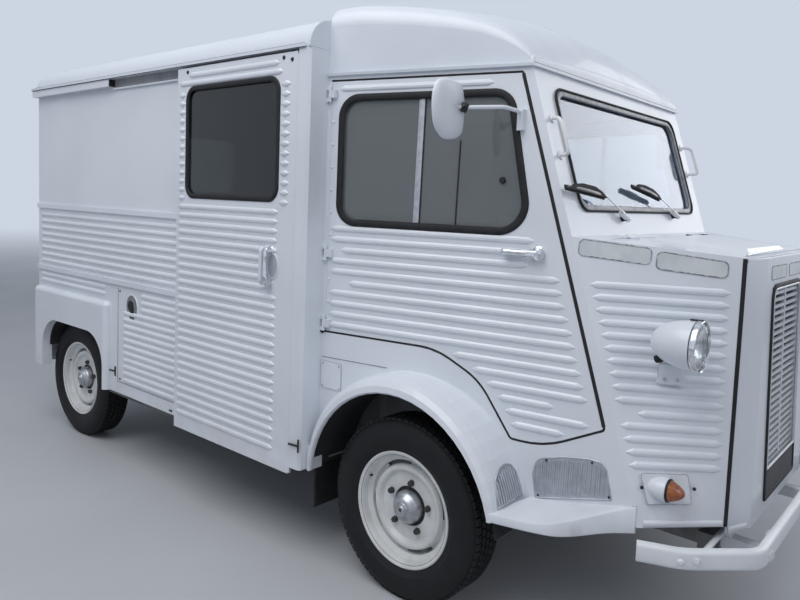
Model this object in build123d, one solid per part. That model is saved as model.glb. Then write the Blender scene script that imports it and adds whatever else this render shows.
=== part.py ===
from build123d import *
import math
import os

os.makedirs("parts", exist_ok=True)

# A light front-drive van with ribbed sheet panels, converted to sell ice cream.
# Sizes are millimetres. Everything is drawn with X forward from the front axle line,
# Y to the left and Z up from the ground; save() moves it so that the origin lies on
# the ground under the middle of the whole vehicle.

# Driving dimensions of the whole vehicle
WHEELBASE = 2527
FRONT_OVERHANG = 1138
REAR_OVERHANG = 455
ORIGIN_SHIFT = (WHEELBASE + REAR_OVERHANG - FRONT_OVERHANG) / 2
WALL = 25
DOOR_THICKNESS = 30
GLASS = 6
DOOR_GAP = 8
SEAT_GAP = 0.3

# Hinges: half the middle knuckle's length, and radii of the knuckles and the pin
HINGE_HALF = 15
HINGE_RADIUS = 7
HINGE_PIN = 3.5
UP = (0, 0, 1)
LEFT = (0, 1, 0)
FORWARD = (1, 0, 0)

# Wheels
HUB_HEIGHT = 339
TYRE_RADIUS = HUB_HEIGHT
TYRE_WIDTH = 170
TRACK_HALF = 814
RIM_SEAT_RADIUS = 201
RIM_FLANGE_RADIUS = 217
RIM_WIDTH = 144
RIM_WALL = 5
DISC_FACE = -20
DISC_CREST = -36
DISC_WALL = 5
HUB_BORE_RADIUS = 20
RUNNING_FIT = 0.08
HUB_LENGTH = 70
HUB_RADIUS = 52
CAP_RADIUS = 62
CAP_REACH = 74
HUB_HOLE_RADIUS = 74
NUT_CIRCLE_RADIUS = 92.5
NUT_COUNT = 5
NUT_TURN = 12
NUT_HALF = 9
KINGPIN_Y = 712
KINGPIN_RADIUS = 11
STEER_ANGLE = 30

# Load body
BODY_REAR = -2925
BODY_FRONT = -450
SIDE_Y = 950
BODY_BOTTOM = 385
GUTTER_Z = 2050
GUTTER_Y = 992
ROOF_TOP = 2266
ROOF_SHOULDER = 2139
ROOF_SHOULDER_RADIUS = 110
ROOF_WALL = 25
FASCIA_LOW = 2010
BELT_UPPER = 1360
BELT_LOWER = 985
BELT_HEIGHT = 26
BELT_REACH = 11
FLOOR_TOP = 430
FLOOR_THICKNESS = 30

# Cab: the side walls run in from the body to the windscreen corners
CAB_REAR_Y = 880
CAB_FRONT_Y = 690
CAB_BOTTOM = 480
CAB_TOP = 1950
SCREEN_BASE_X = 524
SCREEN_BASE_Z = 1380
SCREEN_SLOPE = 0.314
DOME_TOP = 2312
DOME_SHOULDER = 2208
DOME_CORNER = 85
CAB_DOOR_TOP = 1936
CAB_DOOR_REAR = -440
PILLAR_STRIP = 33

# Nose
SEAM_Y = 480
SEAM_X = 1005
NOSE_BOTTOM = 480
NOSE_FRONT_BOTTOM = 457
NOSE_TOP = 1340
NOSE_WALL = 20
FACE_X_TOP = 1028
FACE_X_BOTTOM = 1054
FACE_Y_TOP = 290
FACE_Y_BOTTOM = 372
FACE_TOP = 1312
GRILLE_HALF = 213
GRILLE_TOP = 1232
GRILLE_BOTTOM = 603
GRILLE_PLATE_BOTTOM = 503

# Towing eye under the rear doors
TOW_EYE_X = BODY_REAR - 22
TOW_EYE_Z = 358
TOW_EYE_RADIUS = 14
TOW_EYE_WIDTH = 16

# Front arch and fender
ARCH_CENTRE_Z = 355
ARCH_RADIUS = 425
CROWN_RADIUS = 456
CROWN_X = -8
CROWN_Z = 386
FENDER_WALL = 14
ARCH_CUT_RADIUS = 440
FENDER_Y = 955
FENDER_FRONT_LOW = 455
STEP_Z = 484

# Sliding door
SLIDER_REAR = -1346
SLIDER_FRONT = -519
SLIDER_BOTTOM = 356
SLIDER_TOP = 2038
RAIL_Z = 1996
SLIDER_INNER_Y = 967
SLIDER_THICKNESS = 18
TRACK_END = -1996

RIB_WIDTH = 26
RIB_HEIGHT = 7


def block(x0, x1, y0, y1, z0, z1):
    """A box between two corners."""
    return Pos((x0 + x1) / 2, (y0 + y1) / 2, (z0 + z1) / 2) * Box(
        abs(x1 - x0), abs(y1 - y0), abs(z1 - z0)
    )


def flat_face(points, radius=0):
    """A flat face through points in space, its corners rounded where a radius is given."""
    face = Face(Wire.make_polygon([Vector(*p) for p in points], close=True))
    return fillet(face.vertices(), radius).face() if radius else face


def side_panel(points, y0, y1, radius=0):
    """An outline of (x, z) points as a plate between y0 and y1."""
    face = flat_face([(x, y0, z) for x, z in points], radius)
    return Solid.extrude(face, Vector(0, y1 - y0, 0))


def cross_panel(points, x0, x1, radius=0):
    """An outline of (y, z) points as a plate between x0 and x1."""
    face = flat_face([(x0, y, z) for y, z in points], radius)
    return Solid.extrude(face, Vector(x1 - x0, 0, 0))


def plan_panel(points, z0, z1, radius=0):
    """An outline of (x, y) points as a plate between z0 and z1."""
    face = flat_face([(x, y, z0) for x, y in points], radius)
    return Solid.extrude(face, Vector(0, 0, z1 - z0))


def hull(lower, upper):
    """A solid with straight edges between two outlines of points."""
    wires = [
        Wire.make_polygon([Vector(*p) for p in ring], close=True)
        for ring in (lower, upper)
    ]
    return Solid.make_loft(wires, ruled=True)


def mirrored(shape):
    return mirror(shape, about=Plane.XZ)


def both_sides(shape):
    return shape + mirrored(shape)


def cylinder_y(x, y0, y1, z, radius):
    return Solid.make_cylinder(
        radius, abs(y1 - y0), Plane(origin=(x, min(y0, y1), z), z_dir=(0, 1, 0))
    )


def tube(start, end, radius):
    """A round bar between two points."""
    a, b = Vector(*start), Vector(*end)
    return Solid.make_cylinder(radius, (b - a).length, Plane(origin=a, z_dir=b - a))


def bent_tube(points, bend, radius):
    """A round bar that follows straight runs with tangent bends."""
    path = FilletPolyline(*points, radius=bend)
    start = Plane(origin=path @ 0, z_dir=path % 0)
    return sweep(start * Circle(radius), path=path)


def rib(start, end, normal, width=RIB_WIDTH, height=RIB_HEIGHT):
    """One pressed rib between two points on a panel, with run-out ends. It roots 2 mm deep."""
    a, b, n = Vector(*start), Vector(*end), Vector(*normal).normalized()
    along = (b - a).normalized()
    across = along.cross(n)
    crest = [(-0.5, 0), (-0.27, 0.8), (0, 1), (0.27, 0.8), (0.5, 0)]

    def section(centre, share):
        ring = [
            centre + across * (w * width * share) + n * (h * height * share)
            for w, h in crest
        ]
        ring += [
            centre + across * (0.5 * width * share) - n * 2,
            centre - across * (0.5 * width * share) - n * 2,
        ]
        return Wire.make_polygon(ring, close=True)

    taper = along * (0.8 * width)
    rings = [section(a, 0.2), section(a + taper, 1), section(b - taper, 1), section(b, 0.2)]
    return Solid.make_loft(rings, ruled=True)


def barrel(point, along, start, end, radius, bore=0):
    """A round sleeve or pin between two places along a hinge's axis."""
    plane = Plane(origin=Vector(*point) + Vector(*along) * start, z_dir=along)
    sleeve = Solid.make_cylinder(radius, end - start, plane)
    return sleeve - Solid.make_cylinder(bore, end - start, plane) if bore else sleeve


def hinge_fixed(point, along, radius=HINGE_RADIUS):
    """The hinge's two outer knuckles and the pin between them."""
    half = HINGE_HALF
    outer = barrel(point, along, half + SEAT_GAP, 2 * half, radius)
    outer += barrel(point, along, -2 * half, -half - SEAT_GAP, radius)
    return outer + barrel(point, along, -half - 1, half + 1, HINGE_PIN)


def hinge_moving(point, along, radius=HINGE_RADIUS):
    """The hinge's middle knuckle, which turns on the pin."""
    return barrel(point, along, -HINGE_HALF, HINGE_HALF, radius, HINGE_PIN + SEAT_GAP)


def save(name, shape):
    """Writes one piece, moved from the front axle line to the vehicle's middle."""
    placed = Pos(ORIGIN_SHIFT, 0, 0) * shape
    export_step(placed, f"parts/{name}.step")


def crease_x(z):
    """The line where the cab's side turns into its front, which leans back."""
    return SCREEN_BASE_X + (SCREEN_BASE_Z - z) * SCREEN_SLOPE


def cab_side_y(x, z, inset=0):
    """Half the cab's width at a point on its side."""
    share = (x - BODY_FRONT) / (crease_x(z) - BODY_FRONT)
    return CAB_REAR_Y - inset - (CAB_REAR_Y - CAB_FRONT_Y) * share


def cab_ring(z, inset, rear):
    """The cab's outline at one height, with its walls moved in by inset."""
    front = crease_x(z) - inset
    side = [(rear, CAB_REAR_Y - inset + (BODY_FRONT - rear) * 0.15, z)]
    side.append((front, cab_side_y(front, z, inset), z))
    return side + [(x, -y, z) for x, y, z in reversed(side)]


def cab_block(inset, rear=BODY_FRONT, low=CAB_BOTTOM, high=CAB_TOP):
    return hull(cab_ring(low, inset, rear), cab_ring(high, inset, rear))


def cab_rib(x0, x1, z):
    """A rib at one height on the right side of the cab."""
    start = (x0, -cab_side_y(x0, z), z)
    end = (x1, -cab_side_y(x1, z), z)
    return rib(start, end, (0, -1, 0))


# Wheels: a well-base steel rim with its disc and hub cap, and a plain tyre
def spun(points):
    """A ring turned about the wheel's axle, from (radius, y) points."""
    face = flat_face([(r, y, 0) for r, y in points])
    return revolve(face, Axis.Y, 360)


def spun_upright(points):
    """A ring turned about a vertical axle, from (radius, z) points."""
    face = flat_face([(r, 0, z) for r, z in points])
    return revolve(face, Axis.Z, 360)


def rim():
    half = RIM_WIDTH / 2
    seat = RIM_SEAT_RADIUS
    lip = RIM_FLANGE_RADIUS
    well = seat - 22
    inside = well - RIM_WALL
    bore = HUB_BORE_RADIUS + RUNNING_FIT
    face, crest, back = DISC_FACE, DISC_CREST, DISC_FACE + DISC_WALL
    tyre_side = [
        (lip, -half), (lip, -half + RIM_WALL), (seat, -half + RIM_WALL), (seat, -half + 34),
        (well, -half + 44), (well, half - 44), (seat, half - 34), (seat, half - RIM_WALL),
        (lip, half - RIM_WALL), (lip, half), (seat - RIM_WALL, half), (seat - RIM_WALL, half - 32),
    ]
    disc_inboard = [
        (inside, half - 42), (inside, back - 3), (160, back - 4), (150, crest + 6), (139, crest + 7),
        (127, back), (HUB_HOLE_RADIUS + 6, back), (HUB_HOLE_RADIUS + 6, 4), (HUB_RADIUS, 6),
        (HUB_RADIUS, HUB_LENGTH - 30), (bore, HUB_LENGTH - 30), (bore, -60), (0.01, -60),
    ]
    cap = [
        (0.01, -CAP_REACH), (9, -CAP_REACH), (10, -CAP_REACH + 3), (24, -CAP_REACH + 4), (40, -CAP_REACH + 8),
        (43, -CAP_REACH + 12), (56, -CAP_REACH + 24), (CAP_RADIUS, -CAP_REACH + 38), (CAP_RADIUS, -4),
    ]
    disc_outboard = [
        (HUB_HOLE_RADIUS, -4), (HUB_HOLE_RADIUS, face), (126, face), (138, crest), (151, crest),
        (161, face - 5), (inside, face - 4), (inside, -half + 42), (seat - RIM_WALL, -half + 32),
        (seat - RIM_WALL, -half),
    ]
    body = spun(tyre_side + disc_inboard + cap + disc_outboard)
    nuts = [
        Rot(0, 360 / NUT_COUNT * k - NUT_TURN, 0)
        * Pos(NUT_CIRCLE_RADIUS, face - 7, 0)
        * Rot(90, 0, 0)
        * extrude(RegularPolygon(11, 6), NUT_HALF, both=True)
        for k in range(NUT_COUNT)
    ]
    return body.fuse(*nuts)


def tyre():
    half = RIM_WIDTH / 2 - RIM_WALL - SEAT_GAP
    bead = RIM_SEAT_RADIUS + SEAT_GAP
    wide = TYRE_WIDTH / 2
    top = TYRE_RADIUS
    profile = [
        (bead, -half), (RIM_FLANGE_RADIUS + 8, -half), (264, -wide), (306, -wide + 5), (top - 6, -wide + 24),
        (top, -48), (top, 48), (top - 6, wide - 24), (306, wide - 5), (264, wide),
        (RIM_FLANGE_RADIUS + 8, half), (bead, half),
    ]
    return spun(profile)


# name, axle x, side (-1 right, 1 left)
WHEELS = [
    ("front_right", 0, -1),
    ("front_left", 0, 1),
    ("rear_right", -WHEELBASE, -1),
    ("rear_left", -WHEELBASE, 1),
]
for place, axle_x, side in WHEELS:
    turn = Pos(axle_x, side * TRACK_HALF, HUB_HEIGHT) * Rot(0, 0, 0 if side < 0 else 180)
    save(f"rim_{place}", turn * rim())
    save(f"tyre_{place}", turn * tyre())


# Knuckles: an upright, its steering arm and the spindle that the hub runs on
def knuckle():
    upright = block(-32, 32, -KINGPIN_Y - 26, -KINGPIN_Y + 26, HUB_HEIGHT - 90, HUB_HEIGHT + 90)
    boss = cylinder_y(0, -TRACK_HALF + HUB_LENGTH - 24, -KINGPIN_Y, HUB_HEIGHT, 46)
    spindle = cylinder_y(0, -TRACK_HALF - 58, -KINGPIN_Y, HUB_HEIGHT, HUB_BORE_RADIUS)
    arm = block(-130, -20, -KINGPIN_Y + 4, -KINGPIN_Y + 26, HUB_HEIGHT - 60, HUB_HEIGHT - 36)
    centre = (0, -KINGPIN_Y, HUB_HEIGHT)
    upright -= barrel(centre, UP, 65, 91, KINGPIN_RADIUS + SEAT_GAP)
    upright -= barrel(centre, UP, -91, -65, KINGPIN_RADIUS + SEAT_GAP)
    return upright + boss + spindle + arm


save("knuckle_right", knuckle())
save("knuckle_left", mirrored(knuckle()))


# Chassis rails, named here because the axles hang from them
RAIL_Y = 390
RAIL_HIGH = FLOOR_TOP - FLOOR_THICKNESS
RAIL_BOTTOM = RAIL_HIGH - 60
HORN_FRONT = 960


# Front suspension: a cross member with upper and lower arms that hold each knuckle
def front_suspension():
    beam = block(-70, 70, -575, 575, HUB_HEIGHT - 150, HUB_HEIGHT - 90)
    arms = block(-45, 45, -KINGPIN_Y + 20, -540, HUB_HEIGHT - 124, HUB_HEIGHT - 96)
    arms += block(-35, 35, -KINGPIN_Y + 20, -540, HUB_HEIGHT + 96, HUB_HEIGHT + 120)
    arms += block(-35, 35, -KINGPIN_Y - 26, -KINGPIN_Y + 30, HUB_HEIGHT + 96, HUB_HEIGHT + 120)
    arms += block(-45, 45, -KINGPIN_Y - 26, -KINGPIN_Y + 30, HUB_HEIGHT - 124, HUB_HEIGHT - 96)
    towers = block(-50, 50, -575, -535, HUB_HEIGHT - 150, HUB_HEIGHT + 125)
    towers += block(-60, 60, -RAIL_Y + 40, -RAIL_Y + 100, HUB_HEIGHT - 91, RAIL_BOTTOM)
    centre = (0, -KINGPIN_Y, HUB_HEIGHT)
    pins = barrel(centre, UP, 66, 97, KINGPIN_RADIUS) + barrel(centre, UP, -97, -66, KINGPIN_RADIUS)
    return beam + both_sides(arms + towers + pins)


save("front_suspension", front_suspension())


# Rear axle: a cross tube, trailing arms and the two spindles
ARM_PIVOT_X = -WHEELBASE + 470


def rear_axle():
    arm_y = -690
    cross = tube((ARM_PIVOT_X, -700, 300), (ARM_PIVOT_X, 700, 300), 38)
    hanger = block(ARM_PIVOT_X - 30, ARM_PIVOT_X + 30, -RAIL_Y - 35, -RAIL_Y + 35, 300, RAIL_BOTTOM)
    arm = side_panel(
        [(ARM_PIVOT_X + 40, 262), (ARM_PIVOT_X + 40, 338), (-WHEELBASE - 50, 384), (-WHEELBASE - 50, 294)],
        arm_y - 20, arm_y + 20,
    )
    boss = cylinder_y(-WHEELBASE, -TRACK_HALF + HUB_LENGTH - 24, arm_y, HUB_HEIGHT, 46)
    spindle = cylinder_y(-WHEELBASE, -TRACK_HALF - 58, arm_y, HUB_HEIGHT, HUB_BORE_RADIUS)
    return cross + both_sides(arm + boss + spindle + hanger)


save("rear_axle", rear_axle())


# Chassis: two long box rails, cross members and the front horns for the bumper
def chassis():
    rail = block(BODY_REAR + 40, -420, -RAIL_Y - 35, -RAIL_Y + 35, RAIL_BOTTOM, RAIL_HIGH)
    rail += block(-421, HORN_FRONT, -RAIL_Y + 40, -RAIL_Y + 100, RAIL_BOTTOM, RAIL_HIGH)
    rail += block(-460, -400, -RAIL_Y - 35, -RAIL_Y + 100, RAIL_BOTTOM, RAIL_HIGH)
    sill = block(SLIDER_FRONT + 3, -WHEELBASE + 430, -SIDE_Y + 30, -SIDE_Y + 80, RAIL_HIGH - 45, RAIL_HIGH)
    frame = both_sides(rail + sill)
    for x, y in ((BODY_REAR + 75, 690), (-2120, 900), (-1400, 900), (-700, 900)):
        frame += block(x - 30, x + 30, -y, y, RAIL_HIGH - 50, RAIL_HIGH)
    frame += block(900, 950, -RAIL_Y, RAIL_Y, RAIL_BOTTOM, RAIL_HIGH)
    eye = block(TOW_EYE_X, BODY_REAR + 46, -TOW_EYE_WIDTH / 2, TOW_EYE_WIDTH / 2, TOW_EYE_Z - 26, TOW_EYE_Z + 26)
    eye += cylinder_y(TOW_EYE_X, -TOW_EYE_WIDTH / 2, TOW_EYE_WIDTH / 2, TOW_EYE_Z, 26)
    eye -= cylinder_y(TOW_EYE_X, -TOW_EYE_WIDTH, TOW_EYE_WIDTH, TOW_EYE_Z, TOW_EYE_RADIUS)
    return frame + eye


save("chassis_frame", chassis())


# Floor: the load floor with its rear wheel boxes, the cab floor, the seat boxes over
# the front wheels and the cover over the back of the engine
REAR_BOX_X = (BODY_REAR + WALL, -WHEELBASE + 372)
REAR_BOX_Y = 690
REAR_BOX_TOP = 760
SEAT_BOX_TOP = 860
SEAT_BOX_Y = 520
MAT_X = (BODY_REAR + 100, BODY_FRONT - 40)
MAT_Y = (-REAR_BOX_Y + 20, 380)
MAT_TOP = FLOOR_TOP + 6


def shell_box(x0, x1, y0, y1, z0, z1, wall):
    """A box open below."""
    return block(x0, x1, y0, y1, z0, z1) - block(
        x0 + wall, x1 - wall, y0 + wall, y1 - wall, z0 - 1, z1 - wall
    )


def cab_side_gap(x, z, gap):
    return -(cab_side_y(x, z) - gap)


def floor_pan():
    inner_y = SIDE_Y - WALL
    floor = block(BODY_REAR + WALL, BODY_FRONT, -inner_y, inner_y, RAIL_HIGH, FLOOR_TOP)
    post_cut = block(SLIDER_FRONT + 3, BODY_FRONT + 1, -inner_y - 1, -CAB_REAR_Y + DOOR_THICKNESS, 0, FLOOR_TOP + 1)
    rear_cut = block(REAR_BOX_X[0] - 1, REAR_BOX_X[1], -inner_y - 1, -REAR_BOX_Y, RAIL_HIGH - 1, FLOOR_TOP + 1)
    rear_box = block(REAR_BOX_X[0], REAR_BOX_X[1] + 12, -inner_y, -REAR_BOX_Y + 12, RAIL_HIGH, REAR_BOX_TOP)
    rear_box -= block(REAR_BOX_X[0] - 1, REAR_BOX_X[1], -inner_y - 1, -REAR_BOX_Y, RAIL_HIGH - 1, REAR_BOX_TOP - 12)
    floor = floor - both_sides(rear_cut + post_cut) + both_sides(rear_box)
    cab = block(BODY_FRONT, 700, -SEAT_BOX_Y, SEAT_BOX_Y, RAIL_HIGH, FLOOR_TOP)
    edge = DOOR_THICKNESS + 12
    top = [(-430, cab_side_gap(-430, SEAT_BOX_TOP, edge)), (412, cab_side_gap(412, SEAT_BOX_TOP, edge)),
           (412, -SEAT_BOX_Y), (-430, -SEAT_BOX_Y)]
    seat_box = plan_panel(top, SEAT_BOX_TOP - 12, SEAT_BOX_TOP)
    seat_box += block(-450, 412, -SEAT_BOX_Y - 12, -SEAT_BOX_Y, RAIL_HIGH, SEAT_BOX_TOP)
    seat_box += block(-450, -430, -CAB_REAR_Y + edge, -SEAT_BOX_Y, RAIL_HIGH + 10, SEAT_BOX_TOP)
    seat_box += block(400, 412, -670, -SEAT_BOX_Y, CAB_BOTTOM + 40, SEAT_BOX_TOP)
    seat_box += block(400, 660, -660, -SEAT_BOX_Y + 1, CAB_BOTTOM + 40, CAB_BOTTOM + 52)
    seat_box += block(400, 660, -SEAT_BOX_Y - 12, -SEAT_BOX_Y, RAIL_HIGH, CAB_BOTTOM + 52)
    cab += both_sides(seat_box)
    cover = block(-120, 560, -262, 262, FLOOR_TOP - 1, 1000)
    cover -= block(-108, 561, -250, 250, FLOOR_TOP - 2, 988)
    mat = block(*MAT_X, *MAT_Y, FLOOR_TOP, MAT_TOP)
    return floor + cab + cover + mat


save("floor_pan", floor_pan())

save("engine_block", block(60, 930, -190, 190, FLOOR_TOP, 960))

# Cab shell: side walls and the leaning front wall, with the door openings, the
# windscreen opening and the front wheel arches cut out
DOOR_CORNERS = [
    (CAB_DOOR_REAR, CAB_DOOR_TOP),
    (crease_x(CAB_DOOR_TOP) - PILLAR_STRIP, CAB_DOOR_TOP),
    (crease_x(762) - PILLAR_STRIP, 762),
    (485, 664),
    (365, 668),
    (235, 850),
    (60, 937),
    (CAB_DOOR_REAR, 937),
]
DOOR_CORNER_RADII = [6, 12, 14, 330, 20, 240, 300, 6]
DOOR_SLANT = 0.2
SCREEN_HALF = 572
SCREEN_LOW = 1474
SCREEN_HIGH = 1880


def rounded_outline(points, radii, y, grow=0):
    """A face at one y through (x, z) points, each corner with its own radius."""
    corners = [(x, y, z) for x, z in points]
    face = flat_face(corners)
    for place, radius in zip(corners, radii):
        corner = face.vertices().sort_by_distance(place)[0]
        face = fillet(corner, radius).face()
    if grow:
        face = offset(face, grow, kind=Kind.INTERSECTION).face()
    return face


def door_prism(grow):
    """The cut through the cab's side runs in and back, so that the door swings out clear."""
    points = [(x + DOOR_SLANT * (1000 - cab_side_y(x, z)), z) for x, z in DOOR_CORNERS]
    face = rounded_outline(points, DOOR_CORNER_RADII, -1000, grow)
    return Solid.extrude(face, Vector(-DOOR_SLANT * 500, 500, 0))


def screen_plate(grow, depth0, depth1):
    """A plate parallel to the leaning windscreen, between two depths behind its outside."""
    lean = math.degrees(math.atan(SCREEN_SLOPE))
    middle_z = (SCREEN_LOW + SCREEN_HIGH) / 2
    tall = (SCREEN_HIGH - SCREEN_LOW) / math.cos(math.radians(lean)) + 2 * grow
    plate = extrude(RectangleRounded(tall, 2 * SCREEN_HALF + 2 * grow, 60), depth1 - depth0)
    place = Pos(crease_x(middle_z), 0, middle_z) * Rot(0, -90 - lean, 0)
    return place * Pos(0, 0, depth0) * plate


def cab_wall():
    """The right half of the cab's wall, before anything is cut out of it."""
    wall = cab_block(0) - cab_block(DOOR_THICKNESS, rear=BODY_FRONT - 1, low=CAB_BOTTOM - 1, high=CAB_TOP + 1)
    return wall & block(BODY_FRONT - 10, 1200, -1000, 0, 0, 3000)


CAB_HINGE_X = -436
CAB_HINGE_Y = 886
CAB_HINGE_HEIGHTS = (975, 1258, 1880)


def cab_shell():
    half = cab_wall() - door_prism(0)
    for z in CAB_HINGE_HEIGHTS:
        half += hinge_fixed((CAB_HINGE_X, -CAB_HINGE_Y, z), UP)
        for low, high in ((-2 * HINGE_HALF, -HINGE_HALF - SEAT_GAP), (HINGE_HALF + SEAT_GAP, 2 * HINGE_HALF)):
            half += block(BODY_FRONT, CAB_HINGE_X, -CAB_HINGE_Y - 6, -CAB_REAR_Y + 2, z + low, z + high)
    half -= cylinder_y(0, -1000, -500, ARCH_CENTRE_Z, ARCH_CUT_RADIUS)
    half -= screen_plate(0, -60, 60)
    half -= block(400, 900, -251, 1, CAB_BOTTOM - 1, 989)
    return both_sides(half)


save("cab_shell", cab_shell())
save("windscreen", screen_plate(-SEAT_GAP, 10, 10 + GLASS))

# Cab doors: cut from the same wall, with a slanted window
WINDOW_CORNERS = [(-383, 1861), (crease_x(1861) - 98, 1861), (crease_x(1386) - 146, 1386), (-383, 1386)]
WINDOW_RADII = [70, 70, 90, 70]
# rear end, front end, height of each rib on the cab door
CAB_DOOR_RIBS = [
    (-400, 215, 1900), (-420, 400, 1356), (-420, 395, 1314), (-370, 385, 1272), (-420, 498, 1229),
    (-420, 509, 1187), (-330, 521, 1144), (-420, 537, 1102), (-420, 553, 1059), (-420, 565, 1016),
    (-420, 576, 973), (132, 592, 931), (210, 603, 889), (267, 619, 848), (310, 510, 807),
    (341, 629, 765), (365, 551, 722),
]


def window_prism(grow):
    face = rounded_outline(WINDOW_CORNERS, WINDOW_RADII, -1000, grow)
    return Solid.extrude(face, Vector(0, 500, 0))


def mirror_arm():
    """The tube arm on the door's front top corner and the shield shaped mirror head."""
    head_x, head_y, head_z = 190, -965, 1778
    foot = (327, -718, 1792)
    bracket = block(316, 338, -728, -700, 1730, 1800)
    arm = bent_tube([foot, (310, -800, 1800), (head_x + 4, head_y + 14, head_z + 8)], 40, 7)
    shield = [(-58, -62), (30, -92), (78, -58), (84, 20), (62, 84), (-6, 98), (-62, 80), (-84, 16)]
    ring = [(head_x + 6, head_y + u, head_z + v) for u, v in shield]
    back = [(head_x + 20, head_y + u * 0.8, head_z + v * 0.8) for u, v in shield]
    return bracket + arm + hull(ring, back)


def cab_door():
    door = cab_wall() & door_prism(-DOOR_GAP)
    ribs = [cab_rib(x0, x1, z) for x0, x1, z in CAB_DOOR_RIBS]
    door = door.fuse(*ribs) - window_prism(0)
    handle = block(395, 440, -cab_side_y(420, 1315) - 24, -cab_side_y(420, 1315) + 4, 1304, 1328)
    handle += block(305, 425, -cab_side_y(360, 1315) - 30, -cab_side_y(360, 1315) - 16, 1308, 1322)
    for z in CAB_HINGE_HEIGHTS:
        leaf = block(CAB_HINGE_X + 1, CAB_HINGE_X + 28, -CAB_HINGE_Y - 4, -874, z - HINGE_HALF, z + HINGE_HALF)
        leaf -= barrel((CAB_HINGE_X, -CAB_HINGE_Y, z), UP, -20, 20, HINGE_PIN + SEAT_GAP)
        door += leaf + hinge_moving((CAB_HINGE_X, -CAB_HINGE_Y, z), UP)
    return door + handle + mirror_arm()


def cab_door_glass():
    pane = cab_block(10) - cab_block(10 + GLASS, rear=BODY_FRONT - 1, low=CAB_BOTTOM - 1, high=CAB_TOP + 1)
    return pane & block(-600, 900, -1000, 0, 0, 3000) & window_prism(-SEAT_GAP)


for side_name, place_side in (("right", lambda s: s), ("left", mirrored)):
    save(f"cab_door_{side_name}", place_side(cab_door()))
    save(f"cab_door_glass_{side_name}", place_side(cab_door_glass()))


# Cab roof: a domed pressing that falls to the gutter over the windscreen
def dome_section(x, inset):
    reach = (x - BODY_FRONT) / (crease_x(CAB_TOP) - BODY_FRONT + 2)
    drop = math.sqrt(max(0, 1 - reach * reach))
    half = cab_side_y(x, CAB_TOP) - inset
    top = CAB_TOP + (DOME_TOP - CAB_TOP) * drop - inset
    shoulder = CAB_TOP + (DOME_SHOULDER - CAB_TOP) * drop - inset
    low = CAB_TOP - (1 if inset else 0)
    outline = Polyline((x, -half, shoulder), (x, -half, low), (x, half, low), (x, half, shoulder))
    outline += ThreePointArc((x, half, shoulder), (x, 0, top), (x, -half, shoulder))
    face = make_face(outline)
    corners = face.vertices().sort_by(Axis.Z)[-2:]
    return fillet(corners, DOME_CORNER * drop).face()


def dome(inset):
    stations = (BODY_FRONT, -200, 60, 230, crease_x(CAB_TOP) - 8)
    return loft([dome_section(x, inset) for x in stations])


def cab_roof():
    skin = dome(0) - dome(ROOF_WALL) - block(BODY_FRONT - 1, BODY_FRONT + 40, -700, 700, CAB_TOP, DOME_SHOULDER - 60)
    lip = hull(cab_ring(CAB_TOP, -12, BODY_FRONT), cab_ring(CAB_TOP + 10, -14, BODY_FRONT))
    lip -= hull(cab_ring(CAB_TOP - 1, 24, BODY_FRONT - 1), cab_ring(CAB_TOP + 11, 24, BODY_FRONT - 1))
    return skin + lip


save("cab_roof", cab_roof())


# Nose: two ribbed side panels that close in to the grille, and the cowl behind the hood
def nose_block(inset, low=NOSE_BOTTOM, high=1500):
    def ring(z):
        side = [
            (crease_x(z), CAB_FRONT_Y - inset, z),
            (SEAM_X, SEAM_Y - inset, z),
        ]
        return side + [(x, -y, z) for x, y, z in reversed(side)]

    return hull(ring(low), ring(high))


def nose_top_z(x, drop=0):
    """The hood falls gently from the cowl to the nose."""
    share = (x - SCREEN_BASE_X) / (SEAM_X - SCREEN_BASE_X)
    return SCREEN_BASE_Z + (NOSE_TOP - SCREEN_BASE_Z) * share - drop


def nose_wedge(drop, low=NOSE_BOTTOM - 2):
    """Everything under the hood's slope."""
    x0, x1 = 300, 1200
    return side_panel([(x0, low), (x1, low), (x1, nose_top_z(x1, drop)), (x0, nose_top_z(x0, drop))], -900, 900)


HOOD_CORNERS = [(600, 560), (SEAM_X - 12, 420), (SEAM_X - 12, -420), (600, -560)]
# share of the way from crease to seam at each end, height of each nose rib
SHORT_NOSE_RIB = 10
NOSE_RIBS = [(0.22 if k == SHORT_NOSE_RIB else 0.05, 0.925, 1227 - 40 * k) for k in range(15)]


def nose_point(share, z):
    x = crease_x(z) + (SEAM_X - crease_x(z)) * share
    return (x, -(CAB_FRONT_Y + (SEAM_Y - CAB_FRONT_Y) * share), z)


def nose_rib(share0, share1, z):
    a, b = nose_point(share0, z), nose_point(share1, z)
    return rib(a, b, (b[1] - a[1], a[0] - b[0], 0))


HOOD_HINGE_X = 603
HOOD_HINGE_Z = 1379
HOOD_HINGE_PLACES = (-400, 400)


def nose_sides():
    skin = (nose_block(0) & nose_wedge(0)) - (nose_block(NOSE_WALL, low=NOSE_BOTTOM - 1) & nose_wedge(NOSE_WALL))
    skin -= block(SEAM_X - 1, SEAM_X + 400, -900, 900, 0, 2000)
    hood_hole = plan_panel(HOOD_CORNERS, 1200, 1500)
    skin -= hood_hole
    behind = cab_block(-0.01, low=CAB_BOTTOM - 5)
    skin -= behind
    ribs = [nose_rib(*row) for row in NOSE_RIBS]
    ribs += [mirrored(r) for r in ribs]
    for y in HOOD_HINGE_PLACES:
        skin += hinge_fixed((HOOD_HINGE_X, y, HOOD_HINGE_Z), LEFT, 5)
        for low, high in ((-2 * HINGE_HALF, -HINGE_HALF - SEAT_GAP), (HINGE_HALF + SEAT_GAP, 2 * HINGE_HALF)):
            skin += block(HOOD_HINGE_X - 26, HOOD_HINGE_X, y + low, y + high, HOOD_HINGE_Z - 8, HOOD_HINGE_Z - 1)
    return skin.fuse(*ribs)


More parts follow.
